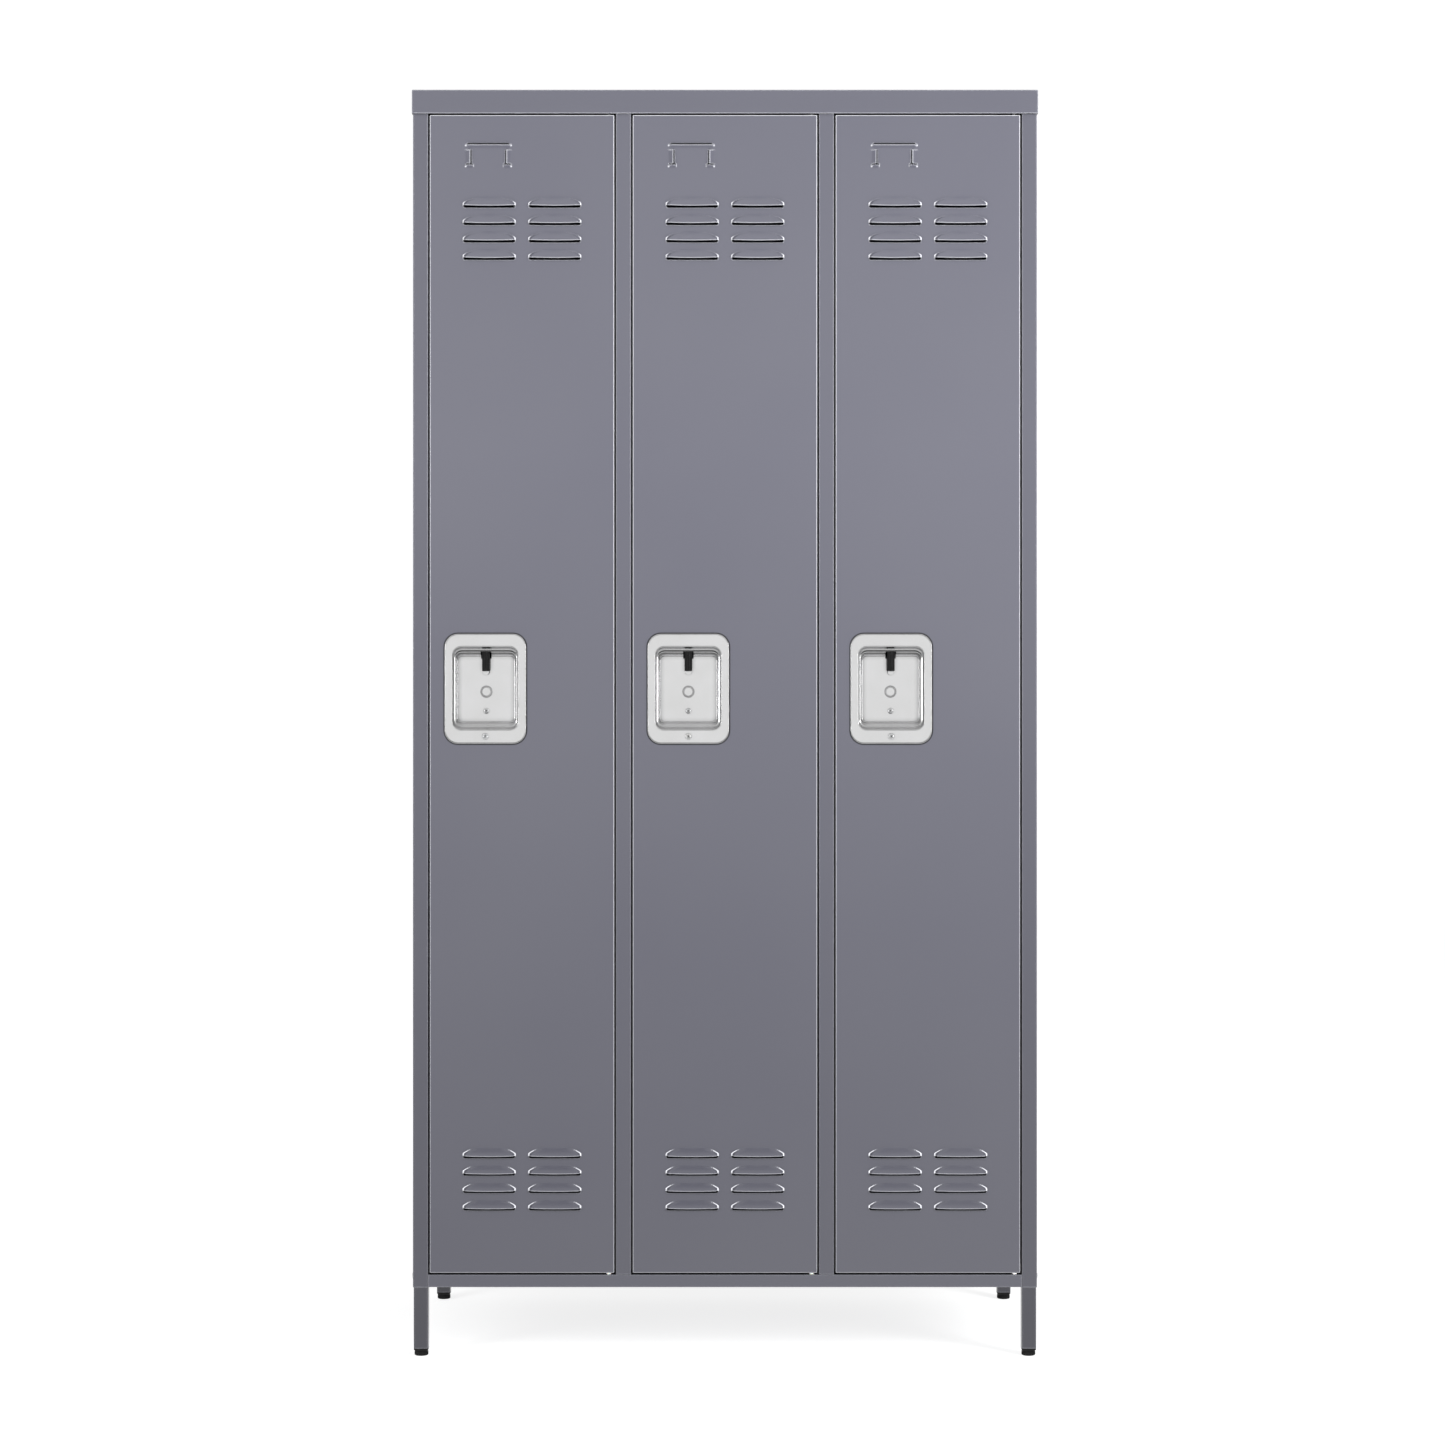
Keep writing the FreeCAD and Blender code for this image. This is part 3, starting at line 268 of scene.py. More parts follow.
def ring_points(width, height, corner, side_marks=(), steps=CORNER_STEPS, cx=0.0, cz=0.0, top_marks=()):
    """Rounded rectangle, anticlockwise. The marks add points on its left side and its top."""
    a = width / 2 - corner
    b = height / 2 - corner
    points = []
    for sx, sz, start in ((-1, -1, 180), (1, -1, 270), (1, 1, 0), (-1, 1, 90)):
        for k in range(steps + 1):
            angle = math.radians(start + 90 * k / steps)
            points.append((cx + sx * a + corner * math.cos(angle), cz + sz * b + corner * math.sin(angle)))
        if (sx, sz) == (1, 1):
            points.extend((cx + x, cz + height / 2) for x in sorted(top_marks, reverse=True))
    points.extend((cx - width / 2, z) for z in sorted(side_marks, reverse=True))
    return points


def rounded_path(keys, reaches, steps=6):
    """A polyline of pan sections with each inner one rounded off over its reaches."""
    def length(p, q):
        """Length of the wall between two sections, from their depths and widths."""
        return math.hypot(q[0] - p[0], (q[1] - p[1]) / 2)

    path = [keys[0]]
    for before, key, after, (reach_in, reach_out) in zip(keys[:-2], keys[1:-1], keys[2:], reaches):
        into = reach_in / length(before, key)
        out = reach_out / length(key, after)
        start = mix(key, before, into)
        end = mix(key, after, out)
        for k in range(steps + 1):
            t = k / steps
            path.append(mix(mix(start, key, t), mix(key, end, t), t))
    path.append(keys[-1])
    return path


def inside(point, ring):
    """Whether a point is inside a ring of points."""
    x, z = point
    found = False
    for (x1, z1), (x2, z2) in zip(ring, ring[1:] + ring[:1]):
        if (z1 > z) != (z2 > z) and x < (x2 - x1) * (z - z1) / (z2 - z1) + x1:
            found = not found
    return found


def fill_flat(sheet, outline, holes, y):
    """Triangles over a flat region with holes, facing the front."""
    coords = []
    edges = []
    for ring in [outline] + holes:
        first = len(coords)
        coords.extend(Vector(p) for p in ring)
        edges.extend((first + i, first + (i + 1) % len(ring)) for i in range(len(ring)))
    points, _, faces, _, _, _ = delaunay_2d_cdt(coords, edges, [], 1, 0.001)
    ids = sheet.add([(p[0], y, p[1]) for p in points])
    for face in faces:
        centre = [sum(points[i][k] for i in face) / len(face) for k in (0, 1)]
        if any(inside(centre, hole) for hole in holes) or not inside(centre, outline):
            continue
        a, b, c = (points[i] for i in face)
        turn = (b[0] - a[0]) * (c[1] - a[1]) - (b[1] - a[1]) * (c[0] - a[0])
        order = face if turn > 0 else face[::-1]
        sheet.faces.append(tuple(ids[i] for i in order))


def border(rows):
    """The outline of a grid of (x, z) points, anticlockwise."""
    right = [row[-1] for row in rows[1:-1]]
    left = [row[0] for row in rows[1:-1]]
    return rows[0] + right + rows[-1][::-1] + left[::-1]


# --- Door ---
def steps_between(marks):
    """Grid lines from runs of (start, end, count), each run divided evenly."""
    found = []
    for start, end, count in marks:
        found.extend(start + (end - start) * k / count for k in range(count))
    found.append(marks[-1][1])
    return found


def louvre_height(x, z):
    """How far a louvre stands out at x from its middle and z over its base line."""
    v = z / LOUVRE_RISE
    if v >= 1:
        return 0.0
    half = max(LOUVRE_TOP_HALF, LOUVRE_HALF - LOUVRE_TAPER * v**3)
    side = LOUVRE_SIDE + LOUVRE_SIDE_SPREAD * max(0.0, v)
    return LOUVRE_REACH * (1 - max(0.0, v)) ** LOUVRE_CURVE * smooth((half - abs(x)) / side)


def louvre_painted_highlight(x, z, tall):
    """Painted highlights of a louvre: on its two ends, which lean inwards, up to a height, and along its
    lip.
    """
    lean = 0.9 * max(0.0, z - 3.0) ** 1.3
    across = smooth(1.2 - abs(LOUVRE_HALF - 0.8 - lean - abs(x)) / 1.1)
    end = across * smooth((tall - z) / (0.4 * tall))
    lip = 0.22 * smooth(1.0 - z / 1.2) if abs(x) < LOUVRE_HALF else 0.0
    return max(end, lip)


def add_louvre(sheet, x0, z0, tall):
    """One louvre pressed out of the sheet, cut open along its lower edge. Gives its outline."""
    half = steps_between(((0.0, 16.0, 4), (16.0, 28.0, 9), (28.0, 38.4, 20), (38.4, 40.0, 1)))
    xs = [-x for x in half[:0:-1]] + half
    ups = steps_between(((0.0, 8.0, 14), (8.0, 16.0, 7)))
    open_half = LOUVRE_HALF - 0.6

    def base(x):
        """The cut's lower side."""
        return -LOUVRE_SLIT * smooth((open_half - abs(x)) / 1.2) - 0.3 * (1 - (x / LOUVRE_HALF) ** 2)

    def lip(x):
        """The cut's upper side."""
        return LOUVRE_LIP + LOUVRE_LIP_BOW * (x / LOUVRE_HALF) ** 2

    rows = [[(x, -3.0) for x in xs], [(x, base(x)) for x in xs]]
    for up in ups:
        rows.append([(x, lip(x) + (up / ups[-1]) * (ups[-1] - lip(x))) for x in xs])
    points = []
    painted_light = []
    for r, row in enumerate(rows):
        raised = r >= 2
        points.append([
            (x0 + x, -louvre_height(x, z - lip(x)) if raised else 0.0, z0 + z) for x, z in row
        ])
        if raised:
            painted_light.append([louvre_painted_highlight(x, z - lip(x), tall) for x, z in row])
        else:
            # painted shade along the slit's lower side
            painted_light.append([SEAM_PAINTED_SHADE * r * smooth((open_half - abs(x)) / 3.0) for x in xs])

    def keep(r, c):
        return r != 1 or abs(xs[c] + xs[c + 1]) / 2 > open_half

    sheet.grid(points, keep, painted_light)
    return border([[(x0 + x, z0 + z) for x, z in row] for row in rows])


def add_card_lip(sheet, x0, z0):
    """Lip over the card, open upwards. Gives its outline."""
    open_half = 30.5
    half = steps_between(((0.0, 24.0, 4), (24.0, 30.5, 8), (30.5, 34.5, 6), (34.5, 35.5, 1)))
    xs = [-x for x in half[:0:-1]] + half
    drops = (9.0, 7.5, 6.5, 5.6, 4.8, 4.0, 3.4, 2.9, 2.4, 1.9)
    slit_top = 0.1

    def height(x, drop):
        v = (drop - drops[-1]) / 6.5
        return CARD_REACH * max(0.0, 1 - v) ** 1.4 * smooth((open_half + 2.5 - abs(x)) / 3.5)

    # painted highlights: a line along the lip's edge and spots at its corners
    def lightened(x, drop):
        line = 0.25 * smooth(1.0 - abs(drop - 2.2) / 1.0) if abs(x) < open_half else 0.0
        corner = smooth(1.0 - math.hypot(abs(x) - CARD_HIGHLIGHT_SPOT, drop - 3.0) / CARD_HIGHLIGHT_SIZE)
        return max(line, corner)

    rows = [[(x0 + x, -height(x, drop), z0 - drop) for x in xs] for drop in drops]
    painted_light = [[lightened(x, drop) for x in xs] for drop in drops]
    rows.append([(x0 + x, 0.0, z0 - slit_top) for x in xs])
    rows.append([(x0 + x, 0.0, z0 + 1.5) for x in xs])
    # painted shade along the slit's upper side
    painted_light.append([SEAM_PAINTED_SHADE * smooth((open_half - abs(x)) / 2.0) for x in xs])
    painted_light.append(0.0)
    slit = len(drops) - 1

    def keep(r, c):
        return r != slit or abs(xs[c] + xs[c + 1]) / 2 > open_half

    sheet.grid(rows, keep, painted_light)
    return border([[(x, z) for x, _, z in row] for row in rows])


def add_card_side(sheet, x0, z0, side):
    """Upright lip beside the card and the small one under its corner, with an L-shaped slit between."""
    slit = CARD_SIDE_SLIT
    foot = CARD_FOOT_SLIT
    xs = steps_between(((20.0, slit[0], 7), (slit[0], slit[1], 1), (slit[1], 34.5, 12)))
    drops = steps_between(((38.0, foot[1], 10), (foot[1], foot[0], 1), (foot[0], 9.4, 22)))
    hair = 0.01

    def height(x, drop):
        if drop <= foot[0] + hair:
            if x < slit[1] - hair:
                return 0.0
            out = max(0.0, 1 - (x - slit[1]) / 7.3) ** 1.3
            return CARD_REACH * out * smooth((drop - 3.6) / 3.0)
        if drop < foot[1] - hair:
            return 0.0
        down = max(0.0, 1 - (drop - foot[1]) / 5.5) ** 1.3
        return CARD_REACH * down * smooth((x - 21.0) / 1.8) * smooth((34.0 - x) / 2.4)

    # painted highlights: a line beside the upright slit and spots at the lips' corners
    def lightened(x, drop):
        line = 0.35 * smooth(1.0 - abs(x - 26.5) / 0.9) if 6.0 < drop < foot[0] else 0.0
        outer = smooth(1.0 - math.hypot(x - CARD_HIGHLIGHT_SPOT, drop - 33.2) / CARD_HIGHLIGHT_SIZE)
        inner = 0.6 * smooth(1.0 - math.hypot((x - 21.3) / 0.8, (drop - 32.4) / 2.6))
        return max(line, outer, inner)

    rows = [[(x0 + side * x, -height(x, drop), z0 - drop) for x in xs] for drop in drops]
    flat = [[(x, z) for x, _, z in row] for row in rows]
    painted_light = [[lightened(x, drop) for x in xs] for drop in drops]

    def keep(r, c):
        x = (xs[c] + xs[c + 1]) / 2
        drop = (drops[r] + drops[r + 1]) / 2
        upright = slit[0] < x < slit[1] and drop < foot[1]
        level = foot[0] < drop < foot[1] and 22.0 < x < 32.2
        return not (upright or level)

    if side < 0:
        rows = [row[::-1] for row in rows]
        flat = [row[::-1] for row in flat]
        painted_light = [row[::-1] for row in painted_light]
        count = len(xs) - 1
        sheet.grid(rows, lambda r, c: keep(r, count - 1 - c), painted_light)
    else:
        sheet.grid(rows, keep, painted_light)
    return border(flat)


def door_profile():
    """Inset and depth of the loops from the flat face round to the end of the inner lip."""
    front_steps = len(EDGE_PAINTED_LIGHT) - 1
    rear_steps = 4
    loops = []
    for k in range(front_steps + 1):
        angle = math.radians(90 * k / front_steps)
        loops.append((DOOR_EDGE * (1 - math.sin(angle)), DOOR_EDGE * (1 - math.cos(angle))))
    for k in range(rear_steps + 1):
        angle = math.radians(90 * k / rear_steps)
        inset = REAR_EDGE * (1 - math.cos(angle))
        loops.append((inset, DOOR_DEPTH - REAR_EDGE * (1 - math.sin(angle))))
    loops.append((LIP_NOTCH, DOOR_DEPTH))
    loops.append((LIP, DOOR_DEPTH))
    return loops


def door_mesh():
    """Door skin as a tray with inner lips, at x from the door's left edge and y from its face."""
    sheet = Sheet()
    middle = (DOOR_WIDTH / 2, (DOOR_BOTTOM + DOOR_TOP) / 2)
    height = DOOR_TOP - DOOR_BOTTOM
    marks = sorted([z - NOTCH_BELOW for z in CATCH_HEIGHTS] + [z + NOTCH_ABOVE for z in CATCH_HEIGHTS])
    rings = []
    for inset, depth in door_profile():
        corner = max(0.25, DOOR_EDGE - inset)
        flat = ring_points(
            DOOR_WIDTH - 2 * inset, height - 2 * inset, corner, marks, cx=middle[0], cz=middle[1]
        )
        paint = EDGE_PAINTED_LIGHT[len(rings)] if len(rings) < len(EDGE_PAINTED_LIGHT) else 0.0
        # the painted highlight on the edge is brightest at the top; the negative loops are painted shade in
        # the gaps
        painted_light = [paint * (0.3 + 0.7 * z / DOOR_TOP) if paint > 0.0 else paint for _, z in flat]
        rings.append((flat, sheet.add([(x, depth, z) for x, z in flat], painted_light)))
    count = len(rings[0][0])
    first_mark = count - len(marks)

    def notched(i):
        """The left side runs downwards, so a notch starts at its upper mark."""
        return i >= first_mark and (i - first_mark) % 2 == 0

    for k in range(len(rings) - 1):
        last = k == len(rings) - 2
        sheet.bridge(rings[k + 1][1], rings[k][1], skip=notched if last else None)

    holes = []
    rows = [(DOOR_TOP - UPPER_LOUVRE_DROP - i * LOUVRE_ROW, UPPER_END_HIGHLIGHT) for i in range(LOUVRE_ROWS)]
    rows += [(DOOR_BOTTOM + LOWER_LOUVRE_RISE + i * LOUVRE_ROW, LOWER_END_HIGHLIGHT) for i in range(LOUVRE_ROWS)]
    for z, tall in rows:
        for side in (-0.5, 0.5):
            holes.append(add_louvre(sheet, middle[0] + side * LOUVRE_PITCH, z, tall))
    card_x = CARD_LEFT + CARD_WIDTH / 2
    card_z = DOOR_TOP - CARD_TOP_DROP
    holes.append(add_card_lip(sheet, card_x, card_z))
    for side in (-1, 1):
        holes.append(add_card_side(sheet, card_x, card_z, side))
    # painted shadow on the door round the flange of the handle pan
    shadow_rings = []
    for reach, shadow_value in FLANGE_PAINTED_SHADOW:
        flat = ring_points(PAN_WIDTH + 2 * reach, PAN_HEIGHT + 2 * reach, PAN_SECTIONS[0][3] + reach,
                           steps=PAN_CORNER_STEPS, cx=PAN_MIDDLE, cz=PAN_CENTRE)
        shadow_rings.append((flat, sheet.add([(x, 0.0, z) for x, z in flat], shadow_value)))
    for outer, inner in zip(shadow_rings[:-1], shadow_rings[1:]):
        sheet.bridge(outer[1], inner[1])
    _, width, tall, corner, z = PAN_MOUTH
    grow = PAN_SHEET + 0.1
    well = ring_points(width + 2 * grow, tall + 2 * grow, corner + grow, cx=PAN_MIDDLE, cz=z)
    fill_flat(sheet, rings[0][0], holes + [shadow_rings[0][0]], 0.0)
    fill_flat(sheet, shadow_rings[-1][0], [well], 0.0)
    return thickened(mesh_of("door", sheet), SHEET, sharp=38.0)


# --- Handle pan ---
def polar_patch(sheet, x0, z0, y0, profile, steps=32):
    """A round feature in an upright face. The profile gives radius and depth from the outside in."""
    turns = [2 * math.pi * k / steps for k in range(steps)]

    def circle(radius):
        return [(x0 + radius * math.cos(turn), z0 + radius * math.sin(turn)) for turn in turns]

    rings = [sheet.add([(x, y0 + depth, z) for x, z in circle(radius)]) for radius, depth in profile]
    for outer, inner in zip(rings[:-1], rings[1:]):
        sheet.bridge(outer, inner)
    sheet.cap(rings[-1])
    return circle(profile[0][0])


def pan_mesh():
    """Drawn stainless pan at x from its middle and y from the flange's front."""
    sheet = Sheet()
    path = rounded_path([list(s) for s in PAN_SECTIONS], PAN_ROUNDING)
    rings = []
    for depth, width, height, corner, z in path:
        half = width / 2 - corner
        marks = [half * k / 4 for k in (-3, -2, 2, 3)] + [-SLOT_HALF, SLOT_HALF, 0.0]
        flat = ring_points(width, height, corner, steps=PAN_CORNER_STEPS, cz=z, top_marks=marks)
        rings.append((depth, flat, sheet.add([(x, depth, zz) for x, zz in flat])))
    for (depth_a, flat_a, ids_a), (depth_b, _, ids_b) in zip(rings[:-1], rings[1:]):
        deep = PAN_LEDGE - 0.2 <= depth_a and PAN_LEDGE < depth_b <= PAN_FLOOR

        def in_slot(i, flat=flat_a, deep=deep):
            x1, z1 = flat[i]
            x2, z2 = flat[(i + 1) % len(flat)]
            level = abs(z1 - z2) < 0.01 and z1 > PAN_CENTRE
            return deep and level and abs(x1 + x2) / 2 < SLOT_HALF

        sheet.bridge(ids_a, ids_b, skip=in_slot)
    knock = polar_patch(sheet, 0.0, KNOCKOUT_Z, PAN_FLOOR, KNOCKOUT)
    fill_flat(sheet, rings[-1][1], [knock], PAN_FLOOR)
    return thickened(mesh_of("pan", sheet), PAN_SHEET, sharp=60.0)


def rivet_mesh(name, radius):
    """Blind rivet's domed head with the hole of its stem, facing the front."""
    dome_steps = 6
    sheet = Sheet()
    height = radius * 0.4
    profile = [(radius, 0.0)]
    for k in range(1, dome_steps + 1):
        angle = math.radians(90 * k / dome_steps)
        out = RIVET_CROWN + (radius - RIVET_CROWN) * math.cos(angle)
        profile.append((out, -height * math.sin(angle)))
    profile += [(1.35, -height * 0.9), (1.2, -height * 0.5), (1.1, -0.1), (0.4, -0.05)]
    polar_patch(sheet, 0.0, 0.0, 0.0, profile)
    return mesh_of(name, sheet, sharp=50.0)


# --- Finger lift ---
def rounded_bar(sheet, outline, stations):
    """Rings of an outline in plan at each (z, grow, ridge) station, closed at both ends."""
    rings = []
    for z, grow, ridge in stations:
        rings.append(sheet.add([(x * grow, y * grow - ridge * bump, z) for x, y, bump in outline]))
    for lower, upper in zip(rings[:-1], rings[1:]):
        sheet.bridge(lower, upper)
    sheet.cap(rings[0][::-1])
    sheet.cap(rings[-1])


def grip_mesh(low, high):
    """Moulded sleeve with a ribbed ridge down its front, centred on x = 0."""
    ridge_reach = 0.8
    corner = 1.2
    rib_pitch = 2.6
    rib_steps = 60
    ends = ((0.0, 0.86), (0.2, 0.93), (0.6, 0.985), (1.0, 1.0))
    half = (high[0] - low[0]) / 2
    front = low[1] + ridge_reach
    middle = (front + high[1]) / 2
    deep = (high[1] - front) / 2
    outline = []
    for sx, sy, start in ((-1, -1, 180), (1, -1, 270), (1, 1, 0), (-1, 1, 90)):
        if (sx, sy) == (1, -1):
            for x, bump in ((-2.2, 0.0), (-1.7, 0.25), (-1.2, 0.85), (-0.6, 1.0), (0.0, 1.0),
                            (0.6, 1.0), (1.2, 0.85), (1.7, 0.25), (2.2, 0.0)):
                outline.append((x, -deep, bump))
        for k in range(6):
            angle = math.radians(start + 90 * k / 5)
            outline.append((
                sx * (half - corner) + corner * math.cos(angle),
                sy * (deep - corner) + corner * math.sin(angle),
                0.0,
            ))
    stations = [(low[2] + inset, grow, 0.3) for inset, grow in ends]
    start = stations[-1][0]
    run = high[2] - ends[-1][0] - start
    for k in range(1, rib_steps):
        z = start + run * k / rib_steps
        wave = 0.5 + 0.5 * math.cos(2 * math.pi * (z - low[2]) / rib_pitch)
        stations.append((z, 1.0, 0.45 + 0.35 * wave))
    stations += [(high[2] - inset, grow, 0.3) for inset, grow in ends[::-1]]
    sheet = Sheet()
    rounded_bar(sheet, outline, stations)
    made = mesh_of("grip", sheet, sharp=60.0)
    made.transform(Matrix.Translation((0, middle * MM, 0)))
    return made


def strap_mesh(low, high):
    """Steel strap with a round lower end and softened edges, centred on x = 0."""
    half = (high[0] - low[0]) / 2
    edge = 0.3
    near = 0.09
    steps = 16

    def shrunk(amount):
        """The outline drawn in by an amount, keeping its rounding."""
        size = half - amount
        points = [(size, high[2] - amount), (-size, high[2] - amount)]
        for k in range(steps + 1):
            angle = math.pi + math.pi * k / steps
            points.append((size * math.cos(angle), low[2] + half + size * math.sin(angle)))
        return points

    sheet = Sheet()
    levels = ((low[1], edge), (low[1] + near, near), (low[1] + edge, 0.0))
    levels += ((high[1] - edge, 0.0), (high[1] - near, near), (high[1], edge))
    rings = [sheet.add([(x, y, z) for x, z in shrunk(amount)]) for y, amount in levels]
    for front, rear in zip(rings[:-1], rings[1:]):
        sheet.bridge(rear, front)
    sheet.cap(rings[0])
    sheet.cap(rings[-1][::-1])
    return mesh_of("strap", sheet, sharp=50.0)


def spring_mesh(low, high):
    """Coil of round wire with closed ends, centred on x = 0 and its own y."""
    wire = 0.35
    turns = 8
    turn_steps = 24
    wire_steps = 8
    closing = 0.1925          # pitch of the closed end turns, as a share of the even pitch
    closed = 1.0 / turns
    end = closing * closed
    radius = (high[0] - low[0]) / 2 - wire
    centre_y = (low[1] + high[1]) / 2
    bottom = low[2] + wire
    run = high[2] - low[2] - 2 * wire
    sheet = Sheet()
    rings = []
    total = turns * turn_steps
    for k in range(total + 1):
        t = k / total
        angle = 2 * math.pi * turns * t
        if t < closed:
            rise = closing * t
        elif t > 1 - closed:
            rise = 1 - closing * (1 - t)
        else:
            rise = end + (1 - 2 * end) * (t - closed) / (1 - 2 * closed)
        ring = []
        for m in range(wire_steps):
            turn = 2 * math.pi * m / wire_steps
            out = radius + wire * math.cos(turn)
            ring.append((
                out * math.cos(angle),
                centre_y + out * math.sin(angle),
                bottom + run * rise + wire * math.sin(turn),
            ))
        rings.append(sheet.add(ring))
    for one, other in zip(rings[:-1], rings[1:]):
        sheet.bridge(other, one)
    sheet.cap(rings[0])
    sheet.cap(rings[-1][::-1])
    return mesh_of("spring", sheet, sharp=60.0)


# --- Feet ---
def lathe(sheet, profile, steps=48):
    """Rings of (radius, z) round the z axis, from the bottom up, with both ends closed."""
    turns = [2 * math.pi * k / steps for k in range(steps)]
    rings = []
    for radius, z in profile:
        rings.append(sheet.add([(radius * math.cos(turn), radius * math.sin(turn), z) for turn in turns]))
    for lower, upper in zip(rings[:-1], rings[1:]):
        sheet.bridge(lower, upper)
    sheet.cap(rings[0][::-1])
    sheet.cap(rings[-1])


def foot_mesh(low, high):
    """Round glide with a moulded rim, and its threaded stem."""
    pad = 6.3                 # height of the glide
    sole = 1.6                # radius of the rounding under the rim
    sole_steps = 6
    rim = 0.8                 # radius of the rounding over it
    rim_steps = 5
    groove = 0.35             # depth of the groove round the rim
    radius = (high[0] - low[0]) / 2
    sheet = Sheet()
    profile = [(radius - sole - 1.6, 0.35), (radius - sole - 1.0, 0.0), (radius - sole, 0.0)]
    for k in range(1, sole_steps + 1):
        angle = math.radians(90 * k / sole_steps)
        profile.append((radius - sole + sole * math.sin(angle), sole - sole * math.cos(angle)))
    for out, drop in ((0.0, 2.6), (groove, 2.3), (groove, 2.0), (0.0, 1.7)):
        profile.append((radius - out, pad - drop))
    for k in range(1, rim_steps + 1):
        angle = math.radians(90 * k / rim_steps)
        profile.append((radius - rim + rim * math.cos(angle), pad - rim + rim * math.sin(angle)))
    profile += [(5.6, pad), (5.1, pad - 0.15), (4.4, pad - 0.15)]
    lathe(sheet, profile)

    core = 3.45               # radius at the bottom of the thread
    ridge = 0.5               # height of the thread over it
    pitch = 1.25
    run_out = 1.2             # length over which the thread fades out at the top
    steps = 32
    start = pad - 0.3
    top = high[2]
    count = int((top - start) / 0.21)
    thread = Sheet()
    rows = []
    for r in range(count + 1):
        z = start + (top - start) * r / count
        row = []
        for k in range(steps + 1):
            turn = k / steps
            phase = (z / pitch - turn) % 1.0
            taper = min(1.0, (top - z) / run_out)
            size = core + ridge * (1 - abs(2 * phase - 1)) * taper
            row.append((size * math.cos(2 * math.pi * turn), size * math.sin(2 * math.pi * turn), z))
        rows.append(row)
    thread.grid(rows)
    first = sheet.add(thread.points)[0]
    sheet.faces.extend(tuple(first + i for i in face) for face in thread.faces)
    last = [first + count * (steps + 1) + k for k in range(steps)]
    sheet.cap(last)
    return mesh_of("foot", sheet, sharp=50.0)


def plug_mesh():
    """Plastic insert: neck, rim with chamfered corners, and the part inside the tube."""
    # width, corner radius and height of each section
    sections = (
        (9.2, 4.0, 6.5), (18.0, 2.6, 6.5), (18.6, 2.8, 6.8), (18.6, 2.8, 8.3), (18.9, 2.8, 8.5),
        (20.4, 2.6, 8.5), (21.0, 2.9, 8.9), (21.0, 2.9, 10.7), (20.8, 2.8, 10.95),
        (18.0, 1.4, 11.0), (17.8, 1.2, 11.2), (17.6, 1.2, 16.0), (17.8, 1.2, 16.4),
        (17.6, 1.2, 17.0), (17.6, 1.2, 24.6), (17.2, 1.2, 25.0),
    )
    sheet = Sheet()
    rings = []
    for width, corner, z in sections:
        rings.append(sheet.add([(x, y, z) for x, y in ring_points(width, width, corner)]))
    for lower, upper in zip(rings[:-1], rings[1:]):
        sheet.bridge(lower, upper)
    sheet.cap(rings[0][::-1])
    sheet.cap(rings[-1])
    return mesh_of("plug", sheet, sharp=50.0)


